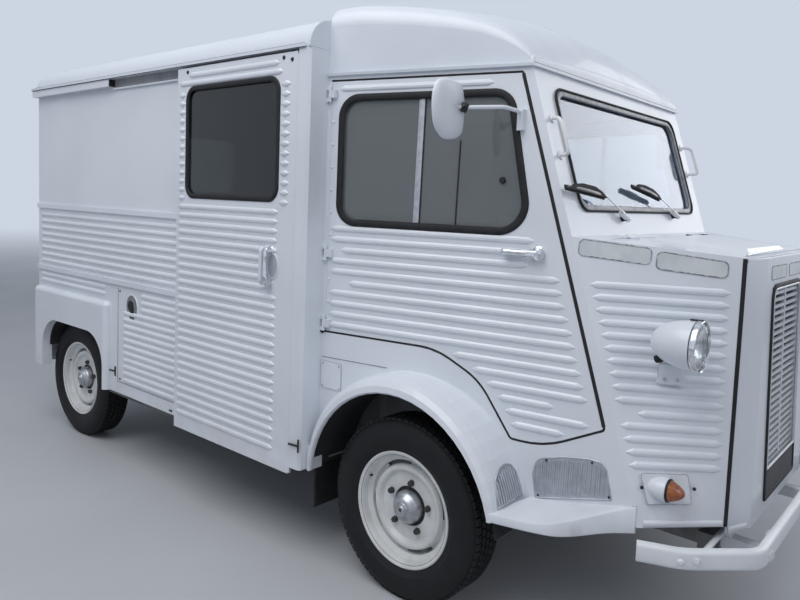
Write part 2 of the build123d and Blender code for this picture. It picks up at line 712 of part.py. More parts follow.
NOSE_SIDES = nose_sides()
save("nose_sides", NOSE_SIDES)


def hood():
    """The hood is hinged at the cowl and has a raised middle."""
    grown = offset(flat_face([(x, y, 1200) for x, y in HOOD_CORNERS]), -7, kind=Kind.INTERSECTION).face()
    plate = Solid.extrude(grown, Vector(0, 0, 300))
    plate = plate & (nose_wedge(0) - nose_wedge(16))
    raised_low = [(640, 330), (960, 250), (960, -250), (640, -330)]
    raised_high = [(660, 300), (945, 230), (945, -230), (660, -300)]
    raised = hull(
        [(x, y, nose_top_z(x) - 2) for x, y in raised_low],
        [(x, y, nose_top_z(x) + 12) for x, y in raised_high],
    )
    for y in HOOD_HINGE_PLACES:
        leaf = block(HOOD_HINGE_X, HOOD_HINGE_X + 30, y - HINGE_HALF, y + HINGE_HALF, HOOD_HINGE_Z - 10, HOOD_HINGE_Z - 2)
        leaf = leaf & block(HOOD_HINGE_X + 4, 700, -900, 900, 1300, 1400)
        leaf += block(HOOD_HINGE_X, HOOD_HINGE_X + 8, y - HINGE_HALF, y + HINGE_HALF, HOOD_HINGE_Z - 5, HOOD_HINGE_Z + 1)
        leaf -= barrel((HOOD_HINGE_X, y, HOOD_HINGE_Z), LEFT, -20, 20, HINGE_PIN + SEAT_GAP)
        plate += leaf + hinge_moving((HOOD_HINGE_X, y, HOOD_HINGE_Z), LEFT, 5)
    return plate + raised


save("hood", hood())


def face_x(z):
    share = (z - NOSE_BOTTOM) / (FACE_TOP - NOSE_BOTTOM)
    return FACE_X_BOTTOM + (FACE_X_TOP - FACE_X_BOTTOM) * share


def face_y(z):
    share = (z - NOSE_BOTTOM) / (FACE_TOP - NOSE_BOTTOM)
    return FACE_Y_BOTTOM + (FACE_Y_TOP - FACE_Y_BOTTOM) * share


def front_block(inset, low, high):
    """The shallow nose box ahead of the seam, its sides and front moved in by inset."""

    def ring(z):
        run = face_x(z) - SEAM_X + 1
        slope = (SEAM_Y - face_y(z)) / run
        rear_y = SEAM_Y - inset * math.hypot(1, slope)
        side = [(SEAM_X - 1, rear_y, z), (face_x(z) - inset, rear_y - (run - inset) * slope, z)]
        return side + [(x, -y, z) for x, y, z in reversed(side)]

    return hull(ring(low), ring(high))


def nose_front():
    shell = front_block(0, NOSE_FRONT_BOTTOM, NOSE_TOP - 8)
    shell -= front_block(NOSE_WALL, NOSE_FRONT_BOTTOM - 1, NOSE_TOP - 28)
    seam = block(SEAM_X - 2, SEAM_X + 3, -SEAM_Y - 5, SEAM_Y + 5, 0, NOSE_TOP)
    shell -= seam - block(SEAM_X - 3, SEAM_X + 4, -SEAM_Y + 8, SEAM_Y - 8, -1, NOSE_TOP - 16)
    shell -= block(SEAM_X, 1200, -GRILLE_HALF, GRILLE_HALF, GRILLE_PLATE_BOTTOM, GRILLE_TOP)
    return shell


save("nose_front", nose_front())


def grille():
    """A frame with a middle bar, a blank plate below and a stack of slats."""
    x_low, x_high = face_x(GRILLE_PLATE_BOTTOM), face_x(GRILLE_TOP)
    half = GRILLE_HALF - SEAT_GAP
    low = GRILLE_PLATE_BOTTOM + SEAT_GAP
    high = GRILLE_TOP - SEAT_GAP

    def slab(y0, y1, z0, z1, back, front):
        return side_panel(
            [(face_x(z0) - back, z0), (face_x(z0) - front, z0), (face_x(z1) - front, z1), (face_x(z1) - back, z1)],
            y0,
            y1,
        )

    frame = slab(-half, half, low, high, 18, 2) - slab(-half + 14, half - 14, GRILLE_BOTTOM, high - 14, 30, -5)
    frame += slab(-9, 9, low, high, 16, 4)
    count = 26
    pitch = (high - 14 - GRILLE_BOTTOM) / count
    slats = [
        slab(-half + 10, half - 10, GRILLE_BOTTOM + pitch * (k + 0.25), GRILLE_BOTTOM + pitch * (k + 0.72), 14, 5)
        for k in range(count)
    ]
    return frame.fuse(*slats)


save("grille", grille())


# Front fenders: a rolled band over each front wheel, the step ahead of it and the
# panel behind it under the door
# share of the way from the lip to the crown, mm in from that, mm in from the fender's outside
FENDER_OUTSIDE = [(0, 0, 8), (0.1, 0, 0), (0.46, 0, 4), (0.77, 0, 19), (0.92, 0, 50), (1, 0, 95)]
FENDER_INSIDE = [(1, 14, 93), (0.92, 14, 58), (0.77, 12, 32), (0.25, 1, 16), (0, 0, 18)]
FENDER_ANGLES = [8 + 7.1 * k for k in range(25)]


def crown_reach(angle):
    """How far the crown's circle is from the lip's centre, which lies lower and further forward."""
    c, s = math.cos(math.radians(angle)), math.sin(math.radians(angle))
    off = CROWN_X * c + (CROWN_Z - ARCH_CENTRE_Z) * s
    apart = CROWN_X**2 + (CROWN_Z - ARCH_CENTRE_Z) ** 2
    return off + math.sqrt(off**2 - apart + CROWN_RADIUS**2)


def fender():
    inner = CAB_FRONT_Y - 20
    rings = []
    for angle in FENDER_ANGLES:
        crown = crown_reach(angle)
        width = crown - ARCH_RADIUS
        outline = [(ARCH_RADIUS + width * share - back, FENDER_Y - side) for share, back, side in FENDER_OUTSIDE]
        outline += [(crown, inner), (crown - FENDER_WALL, inner)]
        outline += [(ARCH_RADIUS + width * share - back, FENDER_Y - side) for share, back, side in FENDER_INSIDE]
        c, s = math.cos(math.radians(angle)), math.sin(math.radians(angle))
        corners = [Vector(r * c, -y, ARCH_CENTRE_Z + r * s) for r, y in outline]
        rings.append(Wire.make_polygon(corners, close=True))
    band = Solid.make_loft(rings, ruled=True)
    keep = block(BODY_FRONT, 0, -1000, -500, BODY_BOTTOM, 900)
    keep += block(0, 600, -1000, -500, FENDER_FRONT_LOW, 900)
    return (band & keep) - cab_outside()


def cab_outside():
    """The room that the cab takes, for cutting the pieces that lie against its side."""
    return cab_block(-0.1, rear=BODY_FRONT - 1, low=300, high=1200)


def fender_step():
    lower = STEP_Z - 24
    plan = [(414, -952), (560, -908), (640, -864), (730, -752), (796, -694), (452, -738)]
    step = plan_panel(plan, lower, STEP_Z)
    rear = block(BODY_FRONT, BODY_FRONT + 22, -FENDER_Y + 12, -CAB_REAR_Y, BODY_BOTTOM, CAB_BOTTOM)
    return (step + rear) - cab_outside()


save("front_fenders", both_sides(fender() + fender_step()))


# Load body sides
def wall_ribs(rows, y=-SIDE_Y):
    return [rib((x0, y, z), (x1, y, z), (0, -1, 0)) for x0, x1, z in rows]


def belt(x0, x1, z):
    return block(x0, x1, -SIDE_Y - BELT_REACH, -SIDE_Y + 1, z - BELT_HEIGHT / 2, z + BELT_HEIGHT / 2)


MIDDLE_RIBS = [BELT_LOWER + 42 + 40 * k for k in range(8)]
LOWER_RIBS = [BELT_LOWER - 42 - 36 * k for k in range(2)]
BULGE_FRONT = -2030
BULGE_TOP = 868
REAR_ARCH_X = (-2806, -2058)
REAR_ARCH_TOP = 685
REAR_ARCH_RADIUS = 180


def wall_plate(front):
    return block(BODY_REAR, front, -SIDE_Y, -SIDE_Y + WALL, BODY_BOTTOM, GUTTER_Z - 1)


def corner_post():
    """The post behind the cab door steps out from the cab to the body's side."""
    plan = [
        (SLIDER_FRONT + 7, -SIDE_Y + WALL), (SLIDER_FRONT + 7, -SIDE_Y - 34), (BODY_FRONT - 12, -SIDE_Y - 34),
        (BODY_FRONT, -SIDE_Y - 24), (BODY_FRONT, -CAB_REAR_Y + DOOR_THICKNESS),
        (SLIDER_FRONT + 7, -CAB_REAR_Y + DOOR_THICKNESS),
    ]
    return plan_panel(plan, BODY_BOTTOM, GUTTER_Z - 1)


def wheel_bulge():
    outer = -SIDE_Y - 34
    lump = block(BODY_REAR + 24, BULGE_FRONT, outer, -SIDE_Y + WALL, BODY_BOTTOM, BULGE_TOP)
    lump = fillet(lump.edges().filter_by(Axis.Z).sort_by(Axis.X)[-2:].sort_by(Axis.Y)[0:1], 30)
    lump = fillet(lump.edges().filter_by(Axis.X).sort_by(Axis.Z)[-2:].sort_by(Axis.Y)[0:1], 26)
    return lump


def rear_arch_cut():
    rear, front = REAR_ARCH_X
    low = BODY_BOTTOM - 2 * REAR_ARCH_RADIUS
    outline = [(rear, low), (rear, REAR_ARCH_TOP), (front, REAR_ARCH_TOP), (front, low)]
    return side_panel(outline, -1100, -800, REAR_ARCH_RADIUS)


def fascia(x0, x1):
    return block(x0, x1, -SIDE_Y - 36, -SIDE_Y + 1, FASCIA_LOW, GUTTER_Z - 1)


def side_wall_right():
    front = SLIDER_FRONT + 9
    wall = wall_plate(front)
    wall -= block(SLIDER_REAR + 16, SLIDER_FRONT - 16, -1000, -800, FLOOR_TOP - 30, RAIL_Z - 8)
    wall += corner_post() + wheel_bulge()
    wall += fascia(BODY_REAR, TRACK_END)
    wall += block(TRACK_END, SLIDER_FRONT - 2, -SIDE_Y - BELT_REACH, -SIDE_Y + 1, RAIL_Z, RAIL_Z + 8)
    wall += belt(BODY_REAR, SLIDER_REAR - 5, BELT_UPPER) + belt(BODY_REAR, SLIDER_REAR - 5, BELT_LOWER)
    wall -= rear_arch_cut()
    rows = [(BODY_REAR + 34, SLIDER_REAR - 14, z) for z in MIDDLE_RIBS]
    rows += [(BODY_REAR + 34, -2080, z) for z in LOWER_RIBS]
    rows += [(-1725, SLIDER_REAR - 20, 935 - 36 * k) for k in range(3)]
    rows += [(-1900, SLIDER_REAR - 20, 827 - 36 * k) for k in range(11)]
    return wall.fuse(*wall_ribs(rows))


def side_wall_left():
    front = SLIDER_FRONT + 9
    wall = wall_plate(front) + corner_post() + wheel_bulge() + fascia(BODY_REAR, front)
    wall += belt(BODY_REAR, front, BELT_UPPER) + belt(BODY_REAR, front, BELT_LOWER)
    wall -= rear_arch_cut()
    x0, x1, z0, z1 = HATCH
    wall -= block(x0, x1, -1000, -800, z0, z1)
    for x in HATCH_HINGE_PLACES:
        wall += hinge_fixed((x, -HATCH_HINGE_Y, HATCH_HINGE_Z), FORWARD)
        for low, high in ((-2 * HINGE_HALF, -HINGE_HALF - SEAT_GAP), (HINGE_HALF + SEAT_GAP, 2 * HINGE_HALF)):
            wall += block(x + low, x + high, -HATCH_HINGE_Y - 3, -HATCH_HINGE_Y + 4, HATCH_HINGE_Z + 3, FASCIA_LOW + 1)
    rows = [(BODY_REAR + 34, front - 14, z) for z in MIDDLE_RIBS]
    rows += [(BODY_REAR + 34, front - 14, z) for z in LOWER_RIBS]
    rows += [(-1990, front - 14, 871 - 36 * k) for k in range(12)]
    return mirrored(wall.fuse(*wall_ribs(rows)))


# Serving hatch: rear end, front end, bottom and top of its opening
HATCH = (-2620, -820, 1392, 1972)
HATCH_HINGE_Y = 981.5
HATCH_HINGE_Z = 1979
HATCH_HINGE_PLACES = (-2500, -1720, -940)


def serving_hatch():
    x0, x1, z0, z1 = HATCH
    panel = block(x0 - 14, x1 + 14, -SIDE_Y - 24, -SIDE_Y - 6, z0 - 12, z1 + 10)
    for x in HATCH_HINGE_PLACES:
        point = (x, -HATCH_HINGE_Y, HATCH_HINGE_Z)
        leaf = block(x - HINGE_HALF, x + HINGE_HALF, -HATCH_HINGE_Y - 3, -SIDE_Y - 23, HATCH_HINGE_Z - 30, HATCH_HINGE_Z - 1)
        leaf -= barrel(point, FORWARD, -20, 20, HINGE_PIN + SEAT_GAP)
        panel += leaf + hinge_moving(point, FORWARD)
    return mirrored(panel)


save("side_wall_right", side_wall_right())
save("side_wall_left", side_wall_left())
save("serving_hatch", serving_hatch())


# Serving counter: a worktop under the hatch on an open frame
def serving_counter():
    x0, x1, z0, z1 = HATCH
    inner = SIDE_Y - WALL - SEAT_GAP
    top = block(x0 + 60, x1, inner - 520, inner, z0 - 60, z0 - 32)
    for x in (x0 + 90, x1 - 60):
        for y in (inner - 490, inner - 40):
            foot = REAR_BOX_TOP if (y > REAR_BOX_Y - 20 and x < REAR_BOX_X[1]) else FLOOR_TOP
            top += block(x, x + 30, y, y + 30, foot, z0 - 60)
    top += block(x0 + 90, x1 - 30, inner - 490, inner - 470, FLOOR_TOP + 420, FLOOR_TOP + 450)
    return top


save("serving_counter", serving_counter())


# Sliding door on the right, hung outside the wall
SLIDER_WINDOW = [(-1262, 1941), (-628, 1941), (-628, 1462), (-1262, 1462)]


def sliding_door():
    outer = -SLIDER_INNER_Y - SLIDER_THICKNESS
    panel = block(SLIDER_REAR, SLIDER_FRONT, outer, -SLIDER_INNER_Y, SLIDER_BOTTOM, SLIDER_TOP)
    panel -= side_panel(SLIDER_WINDOW, -1100, -800, 50)
    front = SLIDER_FRONT - 96
    rows = [(SLIDER_REAR + 14, front, 1410 - 39 * k) for k in range(5)]
    rows += [(SLIDER_REAR + 14, front - 70, 1215 - 39 * k) for k in range(4)]
    rows += [(SLIDER_REAR + 14, front, 1059 - 39 * k) for k in range(17)]
    rows += [(SLIDER_REAR + 90, front - 10, 2003), (SLIDER_REAR + 14, front + 12, 1968)]
    rows += [(SLIDER_REAR + 14, SLIDER_REAR + 66, 1449 + 39 * k) for k in range(13)]
    rows += [(front + 6, front + 60, 1449 + 39 * k) for k in range(13)]
    ribs = [rib((x0, outer, z), (x1, outer, z), (0, -1, 0)) for x0, x1, z in rows]
    handle = bent_tube(
        [(-679, outer + 2, 1262), (-679, outer - 30, 1262), (-679, outer - 30, 1118), (-679, outer + 2, 1118)], 14, 9
    )
    for x in (SLIDER_REAR + 50, SLIDER_FRONT - 50):
        low = RAIL_Z + 8 + SEAT_GAP
        panel += block(x - 30, x + 30, -SLIDER_INNER_Y, -SIDE_Y - 4, low, low + 12)
    return panel.fuse(*ribs) + handle


def sliding_door_glass():
    middle = -SLIDER_INNER_Y - SLIDER_THICKNESS / 2
    return side_panel(
        [(-1262 + SEAT_GAP, 1941 - SEAT_GAP), (-628 - SEAT_GAP, 1941 - SEAT_GAP),
         (-628 - SEAT_GAP, 1462 + SEAT_GAP), (-1262 + SEAT_GAP, 1462 + SEAT_GAP)],
        middle - GLASS / 2, middle + GLASS / 2, 50,
    )


save("sliding_door", sliding_door())
save("sliding_door_glass", sliding_door_glass())


# Load roof with its gutter
def roof_section(x, inset, low):
    half = SIDE_Y + 35 - inset
    shoulder = ROOF_SHOULDER - inset
    outline = Polyline((x, -half, shoulder), (x, -half, low), (x, half, low), (x, half, shoulder))
    outline += ThreePointArc((x, half, shoulder), (x, 0, ROOF_TOP - inset), (x, -half, shoulder))
    face = make_face(outline)
    corners = face.vertices().sort_by(Axis.Z)[-2:]
    return fillet(corners, ROOF_SHOULDER_RADIUS - 1.4 * inset).face()


def load_roof():
    length = BODY_FRONT - BODY_REAR
    skin = extrude(roof_section(BODY_REAR, 0, GUTTER_Z), length, dir=(1, 0, 0))
    rear_edges = [e for e in skin.edges() if abs(e.center().X - BODY_REAR) < 0.1 and e.center().Z > GUTTER_Z + 60]
    skin = fillet(rear_edges, 70)
    skin -= extrude(roof_section(BODY_REAR + ROOF_WALL, ROOF_WALL, GUTTER_Z - 1), length + 10, dir=(1, 0, 0)) & block(
        BODY_REAR, BODY_FRONT - ROOF_WALL, -1200, 1200, 0, 3000
    )
    half = CAB_REAR_Y - 40
    opening = block(BODY_FRONT - ROOF_WALL - 2, BODY_FRONT + 1, -half, half, GUTTER_Z - 1, DOME_SHOULDER - 90)
    skin -= opening
    gutter = block(BODY_REAR - 6, BODY_FRONT - 20, -GUTTER_Y, -SIDE_Y + WALL, GUTTER_Z, GUTTER_Z + 12)
    rear_gutter = block(BODY_REAR - 6, BODY_REAR + WALL, -GUTTER_Y, GUTTER_Y, GUTTER_Z, GUTTER_Z + 12)
    return skin + both_sides(gutter) + rear_gutter


save("load_roof", load_roof())

# Rear: a frame, a lifting upper door with a window and two side hung lower doors
REAR_HALF = 700
REAR_SILL = 430
REAR_MID = 1372
REAR_HEAD = 1975
REAR_HINGE_X = BODY_REAR - 31
REAR_HINGE_Y = REAR_HALF + 17
REAR_HINGE_HEIGHTS = (560, 1240)
TAILGATE_HINGE_Z = REAR_HEAD + 17
TAILGATE_HINGE_PLACES = (-450, 450)


def rear_frame():
    inner = SIDE_Y - WALL
    frame = block(BODY_REAR, BODY_REAR + WALL, -inner, inner, BODY_BOTTOM, GUTTER_Z - 1)
    frame -= block(BODY_REAR - 1, BODY_REAR + WALL + 1, -REAR_HALF, REAR_HALF, REAR_SILL, REAR_HEAD)
    spans = ((-2 * HINGE_HALF, -HINGE_HALF - SEAT_GAP), (HINGE_HALF + SEAT_GAP, 2 * HINGE_HALF))
    for z in REAR_HINGE_HEIGHTS:
        side = hinge_fixed((REAR_HINGE_X, -REAR_HINGE_Y, z), UP)
        for low, high in spans:
            side += block(REAR_HINGE_X, BODY_REAR + 1, -REAR_HINGE_Y - 7, -REAR_HINGE_Y - 1, z + low, z + high)
        frame += both_sides(side)
    for y in TAILGATE_HINGE_PLACES:
        frame += hinge_fixed((REAR_HINGE_X, y, TAILGATE_HINGE_Z), LEFT)
        for low, high in spans:
            frame += block(REAR_HINGE_X, BODY_REAR + 1, y + low, y + high, TAILGATE_HINGE_Z + 1, TAILGATE_HINGE_Z + 7)
    return frame


def rear_door():
    """The right lower door. Its mate on the left is the same, mirrored."""
    x0, x1 = BODY_REAR - 24, BODY_REAR - 6
    door = block(x0, x1, -REAR_HALF - 12, -4, REAR_SILL - 12, REAR_MID - 4)
    rows = [REAR_SILL + 40 + 39 * k for k in range(23)]
    ribs = [rib((x0, -REAR_HALF + 20, z), (x0, -40, z), (-1, 0, 0)) for z in rows]
    for z in REAR_HINGE_HEIGHTS:
        point = (REAR_HINGE_X, -REAR_HINGE_Y, z)
        leaf = block(REAR_HINGE_X - 4, x0 + 1, -REAR_HINGE_Y, -REAR_HINGE_Y + 30, z - HINGE_HALF, z + HINGE_HALF)
        leaf -= barrel(point, UP, -20, 20, HINGE_PIN + SEAT_GAP)
        door += leaf + hinge_moving(point, UP)
    return door.fuse(*ribs)


def tailgate():
    x0, x1 = BODY_REAR - 24, BODY_REAR - 6
    door = block(x0, x1, -REAR_HALF - 12, REAR_HALF + 12, REAR_MID + 4, REAR_HEAD + 12)
    window = cross_panel([(-520, 1470), (520, 1470), (520, 1880), (-520, 1880)], x0 - 5, x1 + 5, 60)
    for y in TAILGATE_HINGE_PLACES:
        point = (REAR_HINGE_X, y, TAILGATE_HINGE_Z)
        leaf = block(REAR_HINGE_X - 4, x0 + 1, y - HINGE_HALF, y + HINGE_HALF, TAILGATE_HINGE_Z - 30, TAILGATE_HINGE_Z)
        leaf -= barrel(point, LEFT, -20, 20, HINGE_PIN + SEAT_GAP)
        door += leaf + hinge_moving(point, LEFT)
    return door - window


def tailgate_glass():
    s = SEAT_GAP
    x = BODY_REAR - 15
    return cross_panel(
        [(-520 + s, 1470 + s), (520 - s, 1470 + s), (520 - s, 1880 - s), (-520 + s, 1880 - s)], x - 3, x + 3, 60
    )


save("rear_frame", rear_frame())
save("rear_door_right", rear_door())
save("rear_door_left", mirrored(rear_door()))
save("tailgate", tailgate())
save("tailgate_glass", tailgate_glass())


# Bumpers: one wrapped channel in front on two arms, two short ones behind
BUMPER_TOP = 458
BUMPER_BOTTOM = 397
# (set back from the front, y) along the outer edge of the front bumper, then the inner edge
BUMPER_OUTER = [(0, 478), (14, 536), (182, 697), (312, 746)]
BUMPER_INNER = [(318, 728), (196, 680), (34, 526), (20, 474)]
STRUT_X = 982
STRUT_Z = 432


def bumpers():
    front = FRONT_OVERHANG
    half = [(front - back, y) for back, y in BUMPER_OUTER + BUMPER_INNER]
    bar = both_sides(plan_panel(half, BUMPER_BOTTOM, BUMPER_TOP))
    bar += block(front - 20, front, -478, 478, BUMPER_BOTTOM, BUMPER_TOP)
    arm = block(HORN_FRONT, front - 18, -RAIL_Y + 46, -RAIL_Y + 94, RAIL_HIGH - 50, RAIL_HIGH - 10)
    arm += block(front - 44, front - 18, -RAIL_Y + 46, -RAIL_Y + 94, RAIL_HIGH - 11, BUMPER_TOP - 18)
    arm += block(STRUT_X - 12, STRUT_X + 12, -RAIL_Y + 50, -RAIL_Y + 90, RAIL_HIGH - 11, STRUT_Z + 4)
    arm += tube((STRUT_X, -664, STRUT_Z), (STRUT_X, -RAIL_Y + 60, STRUT_Z), 9)
    rear_x = -WHEELBASE - REAR_OVERHANG
    rear = block(rear_x, rear_x + 30, -905, -775, 400, 455) + block(rear_x + 29, BODY_REAR, -860, -820, 410, 445)
    return bar + both_sides(arm) + both_sides(rear)


save("bumpers", bumpers())


# Headlamps: bullet shells on a bracket from each nose side
LAMP_Y = 672
LAMP_Z = 1078
LAMP_LENS_X = 955
LAMP_RADIUS = 80


def headlamp():
    outline = [(0, 0), (LAMP_RADIUS, 0), (LAMP_RADIUS, 22), (LAMP_RADIUS - 6, 50), (58, 105), (34, 140), (0, 152)]
    face = flat_face([(r, 0, -d) for r, d in outline])
    bullet = Pos(LAMP_LENS_X, -LAMP_Y, LAMP_Z) * Rot(0, 90, 0) * revolve(face, Axis.Z, 360)
    foot = hull(
        [(x, y, LAMP_Z - 150) for x, y in ((806, -600), (872, -571), (880, -590), (814, -619))],
        [(x, y, LAMP_Z - 70) for x, y in ((806, -600), (872, -571), (892, -672), (830, -672))],
    )
    return (bullet + foot) - nose_block(0) - NOSE_SIDES


save("headlamps", both_sides(headlamp()))


# Signal lamps: amber ones in teardrop housings on the nose, red ones at the back
def signal_lamps():
    a = nose_point(0.28, 600)
    b = nose_point(0.62, 600)
    normal = Vector(b[1] - a[1], a[0] - b[0], 0).normalized()
    middle = Vector(*nose_point(0.45, 600))
    front = Solid.make_cone(34, 22, 46, Plane(origin=middle - normal * 2, z_dir=normal))
    rear = block(BODY_REAR - 40, BODY_REAR, -880, -800, 560, 700)
    return both_sides(front - nose_block(0) - NOSE_SIDES) + both_sides(rear)


save("signal_lamps", signal_lamps())


# Seats: two single seats on the boxes over the front wheels
def seats():
    cushion = block(-330, 130, -725, -330, SEAT_BOX_TOP + 40, SEAT_BOX_TOP + 130)
    leg = block(-300, 100, -700, -350, SEAT_BOX_TOP, SEAT_BOX_TOP + 40)
    back = hull(
        [(x, y, SEAT_BOX_TOP + 131) for x, y in ((-400, -725), (-330, -725), (-330, -340), (-400, -340))],
        [(x, y, SEAT_BOX_TOP + 560) for x, y in ((-445, -715), (-400, -715), (-400, -355), (-445, -355))],
    )
    link = block(-400, -329, -715, -350, SEAT_BOX_TOP + 60, SEAT_BOX_TOP + 131)
    return both_sides(cushion + leg + back + link)


save("seats", seats())


# Dashboard with the steering column and wheel on the left
def dashboard():
    shelf = hull(
        [(x, y, 1290) for x, y in ((400, -600), (520, -600), (520, 600), (400, 600))],
        [(x, y, 1372) for x, y in ((370, -600), (496, -600), (496, 600), (370, 600))],
    )
    column = tube((612, 400, 949), (215, 400, 1340), 18)
    column += block(400, 430, 392, 408, 1150, 1291)
    axis = Vector(225 - 540, 0, 310).normalized()
    wheel_plane = Plane(origin=(215, 400, 1340), z_dir=axis)
    grip = [(205 + 13 * math.cos(math.pi / 4 * k), 13 * math.sin(math.pi / 4 * k)) for k in range(8)]
    ring = wheel_plane.location * spun_upright(grip)
    spokes = Solid.make_cylinder(30, 20, wheel_plane)
    x_dir = Vector(310, 0, 315).normalized()
    for turn in (0, 120, 240):
        c, s = math.cos(math.radians(turn)), math.sin(math.radians(turn))
        reach = Vector(0, 1, 0) * (c * 200) + x_dir * (s * 200)
        spokes += tube((215, 400, 1340), tuple(Vector(215, 400, 1340) + reach), 8)
    return shelf + column + ring + spokes


save("dashboard", dashboard())


# Fittings on the cab front: grab handles on both pillars and two parked wipers
def cab_front_fittings():
    grab = bent_tube(
        [
            (crease_x(1775) - 8, -640, 1775), (crease_x(1775) + 45, -662, 1772),
            (crease_x(1650) + 45, -662, 1652), (crease_x(1650) - 8, -640, 1650),
        ],
        24, 7,
    )
    parts = both_sides(grab)
    for y in (-238, 337):
        foot = tube((crease_x(1452) - 4, y, 1452), (crease_x(1452) + 26, y, 1460), 11)
        arm = tube((crease_x(1455) + 20, y, 1458), (crease_x(1530) + 24, y - 150, 1530), 5)
        parts = parts + foot + arm
    return parts - cab_block(0)


save("cab_front_fittings", cab_front_fittings())
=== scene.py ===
import math

import bmesh
import bpy
from mathutils import Matrix, Vector


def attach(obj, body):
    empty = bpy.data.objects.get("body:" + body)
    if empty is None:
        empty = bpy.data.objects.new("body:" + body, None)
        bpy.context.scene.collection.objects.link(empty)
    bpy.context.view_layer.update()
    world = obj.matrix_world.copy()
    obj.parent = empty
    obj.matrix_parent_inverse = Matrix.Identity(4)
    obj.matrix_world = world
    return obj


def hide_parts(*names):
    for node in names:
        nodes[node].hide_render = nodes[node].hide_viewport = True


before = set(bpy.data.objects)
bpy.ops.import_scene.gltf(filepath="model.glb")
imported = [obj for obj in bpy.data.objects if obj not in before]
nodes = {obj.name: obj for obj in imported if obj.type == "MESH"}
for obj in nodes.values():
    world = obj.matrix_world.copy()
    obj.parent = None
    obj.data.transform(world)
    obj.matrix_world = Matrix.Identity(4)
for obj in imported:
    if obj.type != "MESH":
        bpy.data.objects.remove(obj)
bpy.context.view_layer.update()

# The place of the camera. The picture was taken standing off the front right corner of
# the van, at head height, looking back along its side and a little down.
# Sizes in this file are metres from the front axle line, which lies AXLE_X ahead of the
# van's middle.
AXLE_X = 0.922
CAMERA_PLACE = (1.5902 + AXLE_X, -2.8304, 1.4811)
CAMERA_YAW, CAMERA_PITCH, CAMERA_ROLL = 2.2747, 0.0794, -0.0379
CAMERA_FOCUS = 703.895
PICTURE_WIDTH, PICTURE_HEIGHT = 800, 600
PICTURE_MIDDLE = (397.39, 255.11)

ahead = Vector((
    math.cos(CAMERA_YAW) * math.cos(CAMERA_PITCH),
    math.sin(CAMERA_YAW) * math.cos(CAMERA_PITCH),
    -math.sin(CAMERA_PITCH),
))
level = ahead.cross(Vector((0, 0, 1))).normalized()
down = ahead.cross(level)
right = math.cos(CAMERA_ROLL) * level + math.sin(CAMERA_ROLL) * down
below = -math.sin(CAMERA_ROLL) * level + math.cos(CAMERA_ROLL) * down
camera_data = bpy.data.cameras.new("camera")
camera_data.sensor_width = 36
camera_data.lens = CAMERA_FOCUS * camera_data.sensor_width / PICTURE_WIDTH
camera_data.shift_x = (PICTURE_WIDTH / 2 - PICTURE_MIDDLE[0]) / PICTURE_WIDTH
camera_data.shift_y = (PICTURE_MIDDLE[1] - PICTURE_HEIGHT / 2) / PICTURE_WIDTH
camera = bpy.data.objects.new("camera", camera_data)
turn = Matrix((right, -below, -ahead)).transposed()
camera.matrix_world = Matrix.Translation(CAMERA_PLACE) @ turn.to_4x4()
bpy.context.collection.objects.link(camera)
bpy.context.scene.camera = camera

# The studio. A pale floor fades into a plain sky. A large soft light hangs overhead, and
# weaker ones stand ahead of the van and beyond it, as on a bright day with an even sky.
FLOOR_TONES = ((0.52, 0.535, 0.56), (0.49, 0.505, 0.53))
FLOOR_REACH = 400
FLOOR_FADES = (6, 26)
SKY_COLOUR = (0.76, 0.83, 0.95, 1)
SKY_LIGHT, SKY_SHOWN = 0.34, 0.80
STUDIO_LIGHTS = [
    # name, place, where it points, size, watts
    ("sky_panel", (0.4, -3.4, 5.6), (0, -0.4, 0.8), 4.5, 185),
    ("front_panel", (6.4, -1.8, 4.4), (1.2, 0, 1.0), 3.2, 52),
    ("far_panel", (3.3, 6.2, 3.5), (1.3, 0, 1.7), 4.6, 112),
]
bpy.context.scene.view_settings.view_transform = "Standard"
for name, place, target, size, power in STUDIO_LIGHTS:
    light = bpy.data.lights.new(name, "AREA")
    light.shape, light.size, light.energy = "SQUARE", size, power
    lamp = bpy.data.objects.new(name, light)
    lamp.location = place
    lamp.rotation_euler = (Vector(target) - Vector(place)).to_track_quat("-Z", "Y").to_euler()
    bpy.context.collection.objects.link(lamp)


def feed(tree, node, inputs):
    """Sets each input of a node to a value, or links it to the output of another node."""
    for label, value in inputs.items():
        if isinstance(value, bpy.types.NodeSocket):
            tree.links.new(value, node.inputs[label])
        else:
            node.inputs[label].default_value = value
    return node.outputs


def wired(tree, kind, inputs, **modes):
    """Adds a node to a tree, feeds its inputs and gives its outputs."""
    node = tree.nodes.new(kind)
    for mode, value in modes.items():
        setattr(node, mode, value)
    return feed(tree, node, inputs)


def shown_rays(tree):
    """1 for what the camera sees straight, mirrored or through glass, and 0 for light on the van."""
    ray = wired(tree, "ShaderNodeLightPath", {})
    either = ray["Is Camera Ray"]
    for label in ("Is Glossy Ray", "Is Transmission Ray"):
        either = wired(tree, "ShaderNodeMath", {0: either, 1: ray[label]}, operation="MAXIMUM")[0]
    return either


world = bpy.data.worlds.new("studio")
bpy.context.scene.world = world
world.use_nodes = True
sky = world.node_tree
sky_range = {"To Min": SKY_LIGHT, "To Max": SKY_SHOWN, "Value": shown_rays(sky)}
strength = wired(sky, "ShaderNodeMapRange", sky_range)
feed(sky, sky.nodes["Background"], {"Color": SKY_COLOUR, "Strength": strength["Result"]})


def new_material(name):
    """A new material, its tree and its shader."""
    material = bpy.data.materials.new(name)
    material.use_nodes = True
    return material, material.node_tree, material.node_tree.nodes["Principled BSDF"]


